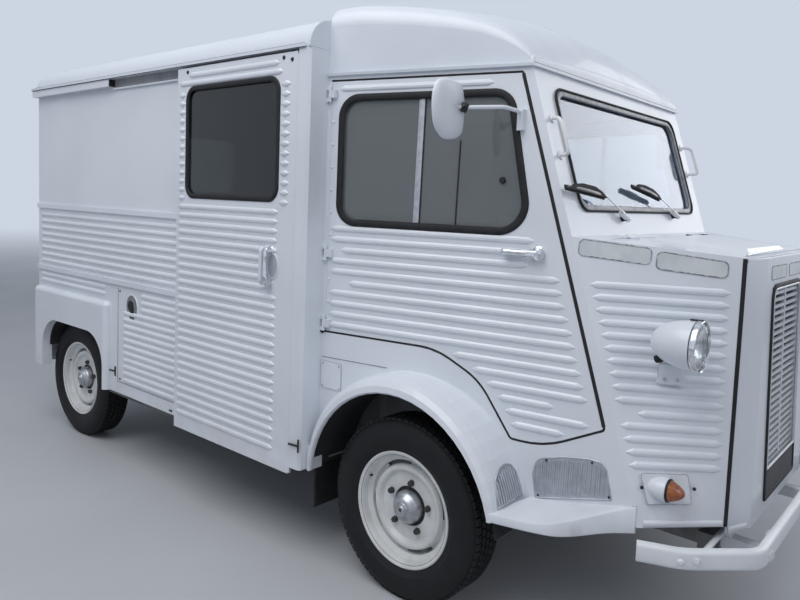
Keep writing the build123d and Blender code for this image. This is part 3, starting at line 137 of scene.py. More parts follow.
def drifting(
    name, tone, other, scale, rough, metal=0.0, coat=0.0, bump=0.0, bump_scale=300, stretch=(1, 1, 1),
):
    """A finish whose colour and gloss drift between two tones, with a fine bump in its surface."""
    material, tree, shader = new_material(name)
    where = wired(tree, "ShaderNodeTexCoord", {})["Object"]
    scaled = wired(tree, "ShaderNodeMapping", {"Scale": stretch, "Vector": where})["Vector"]
    cloud = wired(tree, "ShaderNodeTexNoise", {"Scale": scale, "Detail": 5, "Vector": scaled})["Fac"]
    ramp = tree.nodes.new("ShaderNodeValToRGB")
    for stop, place, colour in zip(ramp.color_ramp.elements, (0.36, 0.6), (other, tone)):
        stop.position, stop.color = place, (*colour, 1)
    drift = feed(tree, ramp, {"Fac": cloud})["Color"]
    gloss_range = {"To Min": rough * 1.25, "To Max": rough * 0.85, "Value": cloud}
    gloss = wired(tree, "ShaderNodeMapRange", gloss_range)["Result"]
    feed(tree, shader, {"Base Color": drift, "Roughness": gloss, "Metallic": metal, "Coat Weight": coat})
    if bump:
        grain = wired(tree, "ShaderNodeTexNoise", {"Scale": bump_scale, "Vector": scaled})["Fac"]
        relief = wired(tree, "ShaderNodeBump", {"Strength": bump, "Distance": 0.002, "Height": grain})
        feed(tree, shader, {"Normal": relief["Normal"]})
    return material


def dusted(material, dust, low, high, share):
    """Dust and splashes over a finish, thick below the height low and gone above the height high."""
    tree = material.node_tree
    shader = tree.nodes["Principled BSDF"]
    clean = shader.inputs["Base Color"].links[0].from_socket
    where = wired(tree, "ShaderNodeTexCoord", {})["Object"]
    height = wired(tree, "ShaderNodeSeparateXYZ", {"Vector": where})["Z"]
    near = wired(tree, "ShaderNodeMapRange", {"From Min": high, "From Max": low, "Value": height})["Result"]
    splash = wired(tree, "ShaderNodeTexNoise", {"Scale": 9, "Detail": 8, "Vector": where})["Fac"]
    patches = {"From Min": 0.35, "From Max": 0.75, "To Max": share, "Value": splash}
    patch = wired(tree, "ShaderNodeMapRange", patches)["Result"]
    amount = wired(tree, "ShaderNodeMath", {0: near, 1: patch}, operation="MULTIPLY")[0]
    mix = wired(tree, "ShaderNodeMix", {"B": (*dust, 1), "Factor": amount, "A": clean}, data_type="RGBA")
    feed(tree, shader, {"Base Color": mix["Result"]})


def finish_nodes(material, names):
    """Gives CAD pieces their finish."""
    for name in names:
        nodes[name].data.materials.clear()
        nodes[name].data.materials.append(material)


floor_mesh = bpy.data.meshes.new("studio_floor")
floor_corners = [(FLOOR_REACH * x, FLOOR_REACH * y, 0) for x, y in ((-1, -1), (1, -1), (1, 1), (-1, 1))]
floor_mesh.from_pydata(floor_corners, [], [(0, 1, 2, 3)])
studio_floor = bpy.data.objects.new("studio_floor", floor_mesh)
bpy.context.collection.objects.link(studio_floor)
floor_finish = drifting("floor_finish", *FLOOR_TONES, 0.8, 0.6, bump=0.02)
floor_mesh.materials.append(floor_finish)
floor_tree = floor_finish.node_tree
floor_place = wired(floor_tree, "ShaderNodeTexCoord", {})["Object"]
from_van = wired(floor_tree, "ShaderNodeVectorMath", {0: floor_place}, operation="LENGTH")["Value"]
fade_range = {"From Min": FLOOR_FADES[0], "From Max": FLOOR_FADES[1], "Value": from_van}
fade = wired(floor_tree, "ShaderNodeMapRange", fade_range, interpolation_type="SMOOTHSTEP")
shown_fade = {0: fade["Result"], 1: shown_rays(floor_tree)}
into_sky = wired(floor_tree, "ShaderNodeMixShader", {
    "Fac": wired(floor_tree, "ShaderNodeMath", shown_fade, operation="MULTIPLY")[0],
    1: floor_tree.nodes["Principled BSDF"].outputs["BSDF"],
    2: wired(floor_tree, "ShaderNodeEmission", {"Color": SKY_COLOUR, "Strength": SKY_SHOWN})["Emission"],
})
feed(floor_tree, floor_tree.nodes["Material Output"], {"Surface": into_sky["Shader"]})

# The body panels. Thin steel sheet with pressed ribs, spot welded and painted a slightly
# blue white by hand, satin rather than glossy, with road dust on its lower parts.
body_white = drifting("body_white", (0.75, 0.785, 0.845), (0.71, 0.745, 0.805), 2.2, 0.32, 0, 0.3, 0.03, 55)
dusted(body_white, (0.50, 0.47, 0.43), 0.36, 0.75, 0.4)
finish_nodes(body_white, [
    "side_wall_right", "side_wall_left", "rear_frame", "cab_shell", "nose_sides", "nose_front",
    "front_fenders", "cab_door_right", "cab_door_left", "sliding_door", "serving_hatch", "tailgate",
    "rear_door_right", "rear_door_left", "hood",
])

# The two roofs. The cab's is a separate domed pressing, and rain has left faint streaks
# along them.
roof_white = drifting(
    "roof_white", (0.73, 0.77, 0.84), (0.67, 0.71, 0.78), 3.0, 0.36, 0, 0.2, 0.03, 40, stretch=(0.4, 2.2, 1),
)
finish_nodes(roof_white, ["load_roof", "cab_roof"])

# The gutters. Folded strips run under both roofs, and thin dark lines along them are
# painted shadow under the gutters' edges.
RIGHT, LEFT = -1, 1
SIDES = ((RIGHT, "right"), (LEFT, "left"))
BODY_REAR, BODY_FRONT = -2.925, -0.45
BODY_SIDE_Y = 0.95
GUTTER_LINES = [
    # half width, height, start ahead of the rear
    (0.9905, 2.0485, -0.002), (0.9865, 2.0635, 0.02),
]


def spot(x, y, z):
    """A place given from the front axle line."""
    return Vector((x + AXLE_X, y, z))


def new_tree(name, **sockets):
    """An empty tree of Geometry Nodes with named inputs, and what it is given."""
    tree = bpy.data.node_groups.new(name, "GeometryNodeTree")
    for label, kind in {"Path": "Geometry", **sockets, "Finish": "Material"}.items():
        tree.interface.new_socket(label, in_out="INPUT", socket_type="NodeSocket" + kind)
    tree.interface.new_socket("Geometry", in_out="OUTPUT", socket_type="NodeSocketGeometry")
    return tree, tree.nodes.new("NodeGroupInput").outputs


def end_tree(tree, made, given, smooth):
    """Ends a tree with real geometry that has its shading and its finish."""
    real = wired(tree, "GeometryNodeRealizeInstances", {"Geometry": made})[0]
    shaded = wired(tree, "GeometryNodeSetShadeSmooth", {"Geometry": real, "Shade Smooth": smooth})[0]
    finished = wired(tree, "GeometryNodeSetMaterial", {"Geometry": shaded, "Material": given["Finish"]})[0]
    wired(tree, "NodeGroupOutput", {"Geometry": finished})
    return tree


def strip_tree(name, sides, smooth):
    """A tree that sweeps a flattened round section along its paths, turned to face one way."""
    tree, given = new_tree(name, Width="Float", Thickness="Float", Facing="Vector")
    curve = wired(tree, "GeometryNodeMeshToCurve", {"Mesh": given["Path"]})[0]
    way = {"Curve": curve, "Normal": given["Facing"]}
    lying = wired(tree, "GeometryNodeSetCurveNormal", way, mode="FREE")[0]
    ring = wired(tree, "GeometryNodeCurvePrimitiveCircle", {"Resolution": sides, "Radius": 0.5})[0]
    size = wired(tree, "ShaderNodeCombineXYZ", {"X": given["Thickness"], "Y": given["Width"], "Z": 1})[0]
    flat = wired(tree, "GeometryNodeTransform", {"Geometry": ring, "Scale": size})[0]
    sweep = {"Curve": lying, "Profile Curve": flat, "Fill Caps": True}
    swept = wired(tree, "GeometryNodeCurveToMesh", sweep)[0]
    return end_tree(tree, swept, given, smooth)


round_strip = strip_tree("round_strip", 10, True)
flat_strip = strip_tree("flat_strip", 4, False)


def grow(tree, paths, closed=False, **given):
    """Lets a tree of Geometry Nodes make its mesh along paths of points."""
    points, edges = [], []
    for path in paths:
        first = len(points)
        points += [tuple(point) for point in path]
        edges += [(first + i, first + i + 1) for i in range(len(path) - 1)]
        if closed:
            edges.append((first + len(path) - 1, first))
    path_mesh = bpy.data.meshes.new("path")
    path_mesh.from_pydata(points, edges, [])
    seed = bpy.data.objects.new("path", path_mesh)
    bpy.context.collection.objects.link(seed)
    modifier = seed.modifiers.new("grow", "NODES")
    modifier.node_group = tree
    for socket in tree.interface.items_tree:
        if socket.in_out == "INPUT" and socket.name in given:
            modifier[socket.identifier] = given[socket.name]
    graph = bpy.context.evaluated_depsgraph_get()
    made = bpy.data.meshes.new_from_object(seed.evaluated_get(graph), depsgraph=graph)
    bpy.data.objects.remove(seed)
    return made


def strip(paths, width, thickness, facing, finish, closed=False, tree=round_strip):
    """Strips along paths, their width lying across and their thickness along the way they face."""
    return grow(tree, paths, closed, Width=width, Thickness=thickness, Facing=facing, Finish=finish)


def add_piece(name, mesh, body, slot, *stands_for):
    """Puts a finished mesh in the scene, on the body that carries it."""
    piece = bpy.data.objects.new(name, mesh)
    mesh.name = name
    bpy.context.collection.objects.link(piece)
    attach(piece, body)
    if stands_for:
        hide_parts(*stands_for)
    return piece


# Painted shadow: a thin dark line along each gutter edge.
gutter_shadow_line = drifting("gutter_shadow_line", (0.10, 0.10, 0.11), (0.05, 0.05, 0.05), 40, 0.7)
gutter_paths = [
    [spot(BODY_REAR + start, side * y, z), spot(BODY_FRONT - 0.03, side * y, z)]
    for side, _ in SIDES for y, z, start in GUTTER_LINES
]
gutter_lines = strip(gutter_paths, 0.003, 0.003, (0, 0, 1), gutter_shadow_line, tree=flat_strip)
add_piece("gutter_lines", gutter_lines, "body", "body_white")

# Rivets and screws. Small domed or flat steel heads hold each cab door's rear strip, the
# side door and the access panel.
SLIDING_DOOR_Y = 0.985
RIVET_X, RIVET_TOP, RIVET_PITCH = -0.424, 1.862, 0.0885
RIVET_ROWS = (0, 1, 2, 3, 4, 5, 6, 8, 9)
PANEL_SCREWS = [(-1.928, 0.938), (-1.924, 0.464), (-1.437, 0.402), (-1.422, 0.402), (-1.40, 0.938)]
DOOR_SCREWS = [(-0.600, 2.019), (-0.550, 2.008), (-1.267, 2.019)]


def heads_tree():
    """A tree that stands a short cone on every point, its top facing one way."""
    tree, given = new_tree("heads", Sides="Int", Radius="Float", Top="Float", Height="Float", Facing="Vector")
    cone = wired(tree, "GeometryNodeMeshCone", {
        "Vertices": given["Sides"], "Radius Bottom": given["Radius"], "Radius Top": given["Top"],
        "Depth": given["Height"],
    })["Mesh"]
    face = wired(tree, "FunctionNodeAlignRotationToVector", {"Vector": given["Facing"]}, axis="Z")[0]
    stand = {"Points": given["Path"], "Instance": cone, "Rotation": face}
    return end_tree(tree, wired(tree, "GeometryNodeInstanceOnPoints", stand)[0], given, False)


heads = heads_tree()


def studs(points, sides, radius, top, height, facing, finish):
    """Heads of rivets, screws or nuts on points."""
    return grow(
        heads, [[point] for point in points], Sides=sides, Radius=radius, Top=top, Height=height,
        Facing=facing, Finish=finish,
    )


def crease_x(z):
    """The upright line where the cab's side turns into its leaning front."""
    return 0.524 + (1.38 - z) * 0.314


def cab_width(x, z):
    """Half the cab's width at a place on its side."""
    return 0.88 - 0.19 * (x - BODY_FRONT) / (crease_x(z) - BODY_FRONT)


def nose_width(x, z):
    """Half the nose's width at a place on its side."""
    return 0.69 - 0.21 * (x - crease_x(z)) / (1.005 - crease_x(z))


def way_out(width, x, z, side):
    """The way a side panel faces at one place."""
    reach = 0.01
    here = width(x, z)
    slope_x = (width(x + reach, z) - here) / reach
    slope_z = (width(x, z + reach) - here) / reach
    return Vector((-slope_x, side, -slope_z)).normalized()


def on_side(width, x, z, side, out=0.0):
    """A place on a side panel, moved out from it."""
    return spot(x, side * width(x, z), z) + out * way_out(width, x, z, side)


def side_line(width, line, side, out=0.0):
    """A line of (x, z) places on a side panel."""
    return [on_side(width, x, z, side, out) for x, z in line]


fresh_white = drifting("fresh_white", (0.80, 0.81, 0.83), (0.74, 0.75, 0.77), 25, 0.3, coat=0.3)
dark_steel = drifting("dark_steel", (0.035, 0.036, 0.04), (0.02, 0.02, 0.022), 60, 0.5, 0.5, 0, 0.1, 400)
for side, place in SIDES:
    rivets = side_line(cab_width, [(RIVET_X, RIVET_TOP - RIVET_PITCH * k) for k in RIVET_ROWS], side, 0.001)
    facing = way_out(cab_width, RIVET_X, 1.4, side)
    rivet_heads = studs(rivets, 10, 0.0065, 0.0035, 0.0035, facing, fresh_white)
    add_piece(f"door_rivets_{place}", rivet_heads, f"cab_door_{place}", "body_white")
panel_screws = [spot(x, -BODY_SIDE_Y, z) for x, z in PANEL_SCREWS]
panel_heads = studs(panel_screws, 10, 0.006, 0.005, 0.003, (0, -1, 0), dark_steel)
add_piece("panel_screws", panel_heads, "body", "chassis_grey")
door_screws = [spot(x, -SLIDING_DOOR_Y, z) for x, z in DOOR_SCREWS]
door_heads = studs(door_screws, 12, 0.009, 0.007, 0.003, (0, -1, 0), dark_steel)
add_piece("sliding_door_screws", door_heads, "sliding_door", "chassis_grey")

# The windows. Clear toughened glass sits in soft black rubber, which is pushed over the
# edge of each opening. The side door's glass is darkened with film.
RUBBER_WIDTH, RUBBER_THICKNESS = 0.024, 0.010
DOOR_WINDOW = [
    (-0.383, 1.861), (crease_x(1.861) - 0.098, 1.861), (crease_x(1.386) - 0.146, 1.386), (-0.383, 1.386),
]
DOOR_WINDOW_RADII = [0.070, 0.070, 0.090, 0.070]
SIDE_WINDOW = [(-1.262, 1.941), (-0.628, 1.941), (-0.628, 1.462), (-1.262, 1.462)]
TAILGATE_FACE_X = BODY_REAR - 0.024
REAR_WINDOW = [(-0.52, 1.88), (0.52, 1.88), (0.52, 1.47), (-0.52, 1.47)]
SCREEN = [(-0.572, 1.880), (0.572, 1.880), (0.572, 1.474), (-0.572, 1.474)]
SCREEN_OUT = Vector((1, 0, 0.314)).normalized()


def window_glass(name, tint, rough=0.02, clear=1.0, bend=1.45):
    """Clear glass with a little dust in cloudy patches."""
    material, tree, shader = new_material(name)
    where = wired(tree, "ShaderNodeTexCoord", {})["Object"]
    cloud = wired(tree, "ShaderNodeTexNoise", {"Scale": 6, "Detail": 6, "Vector": where})["Fac"]
    smear = wired(tree, "ShaderNodeMapRange", {
        "From Min": 0.45, "From Max": 0.8, "To Min": rough, "To Max": rough + 0.08, "Value": cloud,
    })
    feed(tree, shader, {
        "Base Color": (*tint, 1), "IOR": bend, "Transmission Weight": clear, "Roughness": smear["Result"],
    })
    return material


finish_nodes(window_glass("screen_glass", (0.60, 0.69, 0.84), bend=1.65), ["windscreen"])
# Painted reflection: the cab doors' and tailgate's glass is part opaque light grey, so it reads lighter as if
# it mirrored the sky over the dark cab inside.
door_glass = window_glass("door_glass", (0.40, 0.43, 0.44), 0.04, clear=0.72, bend=1.5)
finish_nodes(door_glass, ["cab_door_glass_right", "cab_door_glass_left", "tailgate_glass"])
finish_nodes(window_glass("dark_glass", (0.11, 0.125, 0.13), 0.03, clear=0.9), ["sliding_door_glass"])

black_rubber = drifting(
    "black_rubber", (0.012, 0.012, 0.013), (0.020, 0.020, 0.022), 30, 0.6, bump=0.15, bump_scale=500,
)
black_rubber.node_tree.nodes["Principled BSDF"].inputs["Specular IOR Level"].default_value = 0.3
grey_rubber = drifting("grey_rubber", (0.24, 0.25, 0.27), (0.16, 0.165, 0.18), 30, 0.4, 0, 0.2, 0.15, 500)


def rounded(corners, radii, turn_step=math.radians(9), run_step=0.12):
    """A closed line through (a, b) corners, each rounded, its long runs cut into steps."""
    line = []
    for i, corner in enumerate(corners):
        here = Vector(corner)
        back = (Vector(corners[i - 1]) - here).normalized()
        on = (Vector(corners[(i + 1) % len(corners)]) - here).normalized()
        half = back.angle(on) / 2
        centre = here + (back + on).normalized() * (radii[i] / math.sin(half))
        start = here + back * (radii[i] / math.tan(half)) - centre
        sweep = math.pi - 2 * half
        turns = max(2, math.ceil(sweep / turn_step))
        way = 1 if back.x * on.y - back.y * on.x < 0 else -1
        line += [centre + Matrix.Rotation(way * sweep * k / turns, 2) @ start for k in range(turns + 1)]
    fine = []
    for i, here in enumerate(line):
        on = line[(i + 1) % len(line)]
        steps = max(1, math.ceil((on - here).length / run_step))
        fine += [here.lerp(on, k / steps) for k in range(steps)]
    return fine


def grown(corners, reach):
    """Corners of a convex outline, moved out by reach."""
    middle = sum((Vector(corner) for corner in corners), Vector((0, 0))) / len(corners)
    out = []
    for i, corner in enumerate(corners):
        here = Vector(corner)
        back = (Vector(corners[i - 1]) - here).normalized()
        on = (Vector(corners[(i + 1) % len(corners)]) - here).normalized()
        move = (back + on).normalized() * (reach / math.sin(back.angle(on) / 2))
        out.append(tuple(max(here - move, here + move, key=lambda moved: (moved - middle).length)))
    return out


def window_line(corners, radii, reach):
    """A window's outline, grown by reach."""
    return rounded(grown(corners, reach), [radius + reach for radius in radii])


def on_screen(y, z, out=0.0):
    """A place on the leaning front of the cab, moved out from it."""
    return spot(crease_x(z), y, z) + out * SCREEN_OUT


for side, place in SIDES:
    path = side_line(cab_width, window_line(DOOR_WINDOW, DOOR_WINDOW_RADII, 0.004), side, 0.001)
    facing = way_out(cab_width, 0, 1.6, side)
    rubber = strip([path], RUBBER_WIDTH + 0.004, RUBBER_THICKNESS, facing, black_rubber, closed=True)
    add_piece(f"cab_window_rubber_{place}", rubber, f"cab_door_{place}", "tyre")
side_path = [spot(x, -SLIDING_DOOR_Y - 0.001, z) for x, z in window_line(SIDE_WINDOW, [0.050] * 4, 0.002)]
rear_path = [spot(TAILGATE_FACE_X - 0.001, y, z) for y, z in window_line(REAR_WINDOW, [0.060] * 4, 0.002)]
for name, path, facing, body in (
    ("side_window_rubber", side_path, (0, -1, 0), "sliding_door"),
    ("rear_window_rubber", rear_path, (-1, 0, 0), "tailgate"),
):
    rubber = strip([path], RUBBER_WIDTH, RUBBER_THICKNESS, facing, black_rubber, closed=True)
    add_piece(name, rubber, body, "tyre")
for name, reach, width, out, rubber in (
    ("screen_rubber", 0.000, 0.026, 0.000, grey_rubber),
    ("screen_rubber_lip", -0.010, 0.008, 0.005, black_rubber),
):
    path = [on_screen(y, z, out) for y, z in window_line(SCREEN, [0.062] * 4, reach)]
    add_piece(name, strip([path], width, RUBBER_THICKNESS, SCREEN_OUT, rubber, closed=True), "body", "tyre")

# Each cab door's glass is in two panes that slide past each other. A bright channel edges the rear one,
# the front one has a small round catch, and thin dark strips by their edges are painted shade.
PANE_OUT = -0.0085
PANE_LOW, PANE_HIGH = 1.392, 1.855
CATCH = (0.27, 1.56)
satin_metal = drifting("satin_metal", (0.55, 0.56, 0.58), (0.45, 0.46, 0.48), 50, 0.32, 1, 0, 0.05, 600)


def joined(*meshes):
    """Several meshes of one piece in a single mesh, each part keeping its finish."""
    made = bmesh.new()
    finishes = []
    for mesh in meshes:
        start = len(made.faces)
        made.from_mesh(mesh)
        made.faces.ensure_lookup_table()
        finishes += [material for material in mesh.materials if material not in finishes]
        slots = [finishes.index(material) for material in mesh.materials]
        for face in made.faces[start:]:
            face.material_index = slots[face.material_index]
    out = bpy.data.meshes.new("joined")
    made.to_mesh(out)
    made.free()
    for material in finishes:
        out.materials.append(material)
    return out


for side, place in SIDES:
    door, facing = f"cab_door_{place}", way_out(cab_width, 0, 1.6, side)
    # The two dark strips are painted shade beside the panes' edges.
    bright, *shades = [
        side_line(cab_width, [(x, PANE_LOW), (x, top)], side, PANE_OUT)
        for x, top in ((-0.055, PANE_HIGH), (-0.040, PANE_HIGH), (0.104, 1.70))
    ]
    channel = joined(
        strip([bright], 0.023, 0.006, facing, satin_metal, tree=flat_strip),
        strip(shades, 0.006, 0.007, facing, dark_steel, tree=flat_strip),
    )
    add_piece(f"cab_window_channel_{place}", channel, door, "counter_steel")
    catch_place = on_side(cab_width, *CATCH, side, -0.006)
    catch_facing = way_out(cab_width, *CATCH, side)
    catch = studs([catch_place], 20, 0.012, 0.010, 0.008, catch_facing, dark_steel)
    add_piece(f"cab_window_catch_{place}", catch, door, "chassis_grey")
    step_line = side_line(cab_width, [(-0.30, 1.394), (0.30, 1.394)], side, 0.001)
    step = strip([step_line], 0.006, 0.006, facing, black_rubber)
    add_piece(f"cab_window_step_{place}", step, door, "tyre")

# The cab doors' seals. A black rubber bead lies in the gap over, below and ahead of each
# door, and it is thickest down the leaning front edge. A painted strip closes the rear gap.
MM = 0.001
SHARP = math.radians(38)
SEAL_INSET = 0.033
DOOR_CORNERS = [
    (-0.440, 1.936), (crease_x(1.936) - SEAL_INSET, 1.936), (crease_x(0.762) - SEAL_INSET, 0.762),
    (0.485, 0.664), (0.365, 0.668), (0.235, 0.850), (0.060, 0.937), (-0.440, 0.937),
]
DOOR_RADII = [0.006, 0.012, 0.014, 0.330, 0.020, 0.240, 0.300, 0.006]
DOOR_MIDDLE = Vector((0.05, 1.35))
DOOR_REAR_EDGE = -0.4355
STOP = [(0, 10), (6, 9), (11, 4), (12, 0), (0, 0)]


def shrunk(line, middle, reach):
    """A closed line moved in by reach at every point."""
    moved = []
    for i, here in enumerate(line):
        along = (line[(i + 1) % len(line)] - line[i - 1]).normalized()
        normal = Vector((along.y, -along.x))
        moved.append(here + reach * (normal if normal.dot(middle - here) > 0 else -normal))
    return moved


def to_mesh(shape, finish, smooth=True):
    """Turns a bmesh into a mesh whose faces point out, creased at every edge over SHARP."""
    bmesh.ops.remove_doubles(shape, verts=shape.verts[:], dist=1e-6)
    bmesh.ops.recalc_face_normals(shape, faces=shape.faces[:])
    for face in shape.faces:
        face.smooth = smooth
    for edge in shape.edges:
        edge.smooth = len(edge.link_faces) != 2 or edge.calc_face_angle(0) < SHARP
    mesh = bpy.data.meshes.new("shape")
    shape.to_mesh(mesh)
    shape.free()
    mesh.materials.append(finish)
    return mesh


def turned(profile, centre, axle, finish, steps=64, closed=True, left_open=None):
    """A solid turned about an axle, from (radius, distance along the axle) points in millimetres."""
    axle = Vector(axle).normalized()
    across = axle.orthogonal().normalized()
    up = axle.cross(across)
    shape = bmesh.new()
    rings = []
    for k in range(steps):
        angle = 2 * math.pi * k / steps
        spoke = math.cos(angle) * across + math.sin(angle) * up
        rings.append([
            shape.verts.new(Vector(centre) + spoke * (r * MM) + axle * (a * MM)) for r, a in profile
        ])
    for k, here in enumerate(rings):
        on = rings[(k + 1) % steps]
        for i in range(len(profile) if closed else len(profile) - 1):
            j = (i + 1) % len(profile)
            if not (left_open and left_open(i, k)):
                shape.faces.new((here[i], here[j], on[j], on[i]))
    bmesh.ops.remove_doubles(shape, verts=shape.verts[:], dist=1e-5)
    flat = [face for face in shape.faces if face.calc_area() < 1e-12]
    bmesh.ops.delete(shape, geom=flat, context="FACES")
    return to_mesh(shape, finish)


door_line = rounded(DOOR_CORNERS, DOOR_RADII)
seal_line = [point for point in shrunk(door_line, DOOR_MIDDLE, 0.004) if point.x > DOOR_REAR_EDGE]
front_line = [(crease_x(z) - SEAL_INSET - 0.004, z) for z in (1.925, 1.6, 1.3, 1.0, 0.775)]
for side, place in SIDES:
    facing = way_out(cab_width, 0, 1.4, side)
    seal = strip([side_line(cab_width, seal_line, side, -0.003)], 0.010, 0.010, facing, black_rubber)
    add_piece(f"cab_door_seal_{place}", seal, "body", "tyre")
    rear_run = side_line(cab_width, [(-0.4405, z) for z in (0.948, 1.44, 1.932)], side, -0.0025)
    rear_strip = strip([rear_run], 0.013, 0.006, facing, body_white, tree=flat_strip)
    add_piece(f"cab_door_rear_strip_{place}", rear_strip, "body", "body_white")
    stop = turned(STOP, on_side(cab_width, -0.4465, 0.944, side, 0.001), facing, black_rubber, 16)
    add_piece(f"cab_door_stop_{place}", stop, "body", "tyre")
    front_seal = strip([side_line(cab_width, front_line, side, -0.001)], 0.013, 0.009, facing, black_rubber)
    add_piece(f"cab_door_front_seal_{place}", front_seal, "body", "tyre")

# The cab door handles and the mirrors. The lever is a thin chromed casting on a round boss.
# The mirror head is a white shield on a bent tube, held by a black clamp.
BOSS = [(0, 27), (12, 27), (17.5, 22), (19, 4), (24.5, 0), (0, 0)]
LEVER = [(0.420, 0.020), (0.405, 0.026), (0.385, 0.027), (0.345, 0.0255), (0.312, 0.0255), (0.296, 0.021)]
CLAMP = [(0, -14), (10, -14), (12, -10), (12, 12), (8, 16), (0, 16)]
MIRROR_Y, MIRROR_Z = 0.965, 1.778
MIRROR_SHELL = [(0.1950, 1.0), (0.1990, 1.0), (0.2050, 0.975), (0.2105, 0.89), (0.2145, 0.70), (0.2165, 0.35)]
MIRROR_OUTLINE = [
    (-10, 98.5), (40, 96.5), (66, 84.5), (79, 55), (84.5, 10), (82, -56), (62, -83), (30, -93.5),
    (-20, -93.5), (-61, -67), (-78, -30), (-83.5, 16), (-80, 52), (-64, 83), (-40, 95.5),
]
chrome = drifting("chrome", (0.80, 0.81, 0.83), (0.62, 0.63, 0.65), 60, 0.12, 1)
mirror_glass = drifting("mirror_glass", (0.85, 0.87, 0.88), (0.80, 0.82, 0.83), 8, 0.04, 1)


def softened_box(low, high, radius, finish, steps=2):
    """A box between two corners with its edges rounded."""
    shape = bmesh.new()
    bmesh.ops.create_cube(shape, size=1)
    size, middle = high - low, (high + low) / 2
    for vert in shape.verts:
        vert.co = vert.co * size + middle
    bmesh.ops.bevel(shape, geom=shape.edges[:], offset=radius, segments=steps, affect="EDGES", profile=0.5)
    return to_mesh(shape, finish)


def lofted(rings, finish, smooth=True):
    """A closed solid through rings that all have the same number of points."""
    shape = bmesh.new()
    made = [[shape.verts.new(point) for point in ring] for ring in rings]
    for here, on in zip(made, made[1:]):
        for i in range(len(here)):
            j = (i + 1) % len(here)
            shape.faces.new((here[i], here[j], on[j], on[i]))
    shape.faces.new(made[0][::-1])
    shape.faces.new(made[-1])
    return to_mesh(shape, finish, smooth)


def plate(points, facing, thickness, finish):
    """A flat plate whose outer outline is given, its back lying thickness behind."""
    shape = bmesh.new()
    back = Vector(facing).normalized() * thickness
    outer = [shape.verts.new(point) for point in points]
    inner = [shape.verts.new(point - back) for point in points]
    shape.faces.new(outer)
    shape.faces.new(inner[::-1])
    for i in range(len(points)):
        j = (i + 1) % len(points)
        shape.faces.new((outer[i], inner[i], inner[j], outer[j]))
    return to_mesh(shape, finish, smooth=False)


def eased(points, steps, closed=False):
    """A smooth line through points."""
    points = [Vector(point) for point in points]
    count, line = len(points), []
    for i in range(count if closed else count - 1):
        near = [(i + k) % count if closed else min(max(i + k, 0), count - 1) for k in (-1, 0, 1, 2)]
        a, b, c, d = (points[k] for k in near)
        slope, bow, twist = c - a, 2 * a - 5 * b + 4 * c - d, 3 * b - a - 3 * c + d
        for t in [k / steps for k in range(steps)]:
            line.append((2 * b + slope * t + bow * t ** 2 + twist * t ** 3) / 2)
    return line if closed else line + [points[-1]]


mirror_line = eased([(u * MM, v * MM) for u, v in MIRROR_OUTLINE], 4, closed=True)
for side, place in SIDES:
    door, facing = f"cab_door_{place}", way_out(cab_width, 0.42, 1.316, side)
    boss = turned(BOSS, on_side(cab_width, 0.418, 1.316, side), facing, chrome, 32)
    lever_line = [on_side(cab_width, x, 1.315, side, out) for x, out in LEVER]
    lever = strip([lever_line], 0.021, 0.0185, facing, chrome)
    wall = cab_width(0.42, 1.315)
    low = spot(0.393, side * (wall + 0.0255) - 0.0005, 1.302)
    block = softened_box(low, spot(0.442, side * (wall - 0.002) + 0.0005, 1.330), 0.003, chrome)
    add_piece(f"cab_door_lever_{place}", joined(boss, lever, block), door, "counter_steel")
    clamp_place = spot(0.226, side * 0.911, 1.789)
    clamp = turned(CLAMP, clamp_place, (0.15, side * -0.4, 1), dark_steel, 20)
    nut_place = clamp_place + Vector((0.006, side * 0.010, 0.004))
    nut = studs([nut_place], 6, 0.009, 0.009, 0.014, (0.4, side, 0.3), dark_steel)
    add_piece(f"mirror_clamp_{place}", joined(clamp, nut), door, "chassis_grey")
    *shell, face = [
        [spot(x, side * (MIRROR_Y - share * u), MIRROR_Z + share * v) for u, v in mirror_line]
        for x, share in MIRROR_SHELL + [(0.1940, 0.94)]
    ]
    add_piece(f"mirror_shell_{place}", lofted(shell, body_white), door, "body_white")
    add_piece(f"mirror_glass_{place}", plate(face, (-1, 0, 0), 0.001, mirror_glass), door, "glass")

# The roof's front edge. The dome turns down to a folded moulding over the windscreen, with a
# thin line of old sealer where they meet.
DOME_END_X, DOME_HALF, DOME_CORNER, DOME_STEPS = 0.337, 0.6922, 0.014, 28
DOME_EDGE_TOP, DOME_EDGE_SHOULDER, MOULDING_TOP = 2.0072, 1.9907, 1.9603
DOME_SECTION = [(-16, 0.80), (-8, 1.02), (2, 0.97), (8.5, 0.80), (12, 0.50), (13.5, 0.0), (-16, 0.0)]
dome_rings = []
for k in range(2 * DOME_STEPS + 1):
    y = DOME_HALF * math.sin(math.pi / 2 * (k / DOME_STEPS - 1))
    high = DOME_EDGE_TOP - (DOME_EDGE_TOP - DOME_EDGE_SHOULDER) * (y / DOME_HALF) ** 2
    left_over = max(0.0, DOME_CORNER - (DOME_HALF - abs(y)))
    high -= DOME_CORNER - math.sqrt(DOME_CORNER ** 2 - left_over ** 2)
    rise = high - MOULDING_TOP
    dome_rings.append([
        spot(DOME_END_X + x * MM, y, MOULDING_TOP + share * rise) for x, share in DOME_SECTION
    ])
add_piece("roof_front_edge", lofted(dome_rings, roof_white), "body", "body_white")
old_sealer = drifting("old_sealer", (0.34, 0.32, 0.29), (0.20, 0.185, 0.165), 30, 0.7)
sealer_run = [spot(DOME_END_X + 0.0145, y, MOULDING_TOP + 0.001) for y in (-0.690, 0.0, 0.690)]
add_piece("roof_front_sealer", strip([sealer_run], 0.005, 0.004, (1, 0, 0), old_sealer), "body", "body_white")
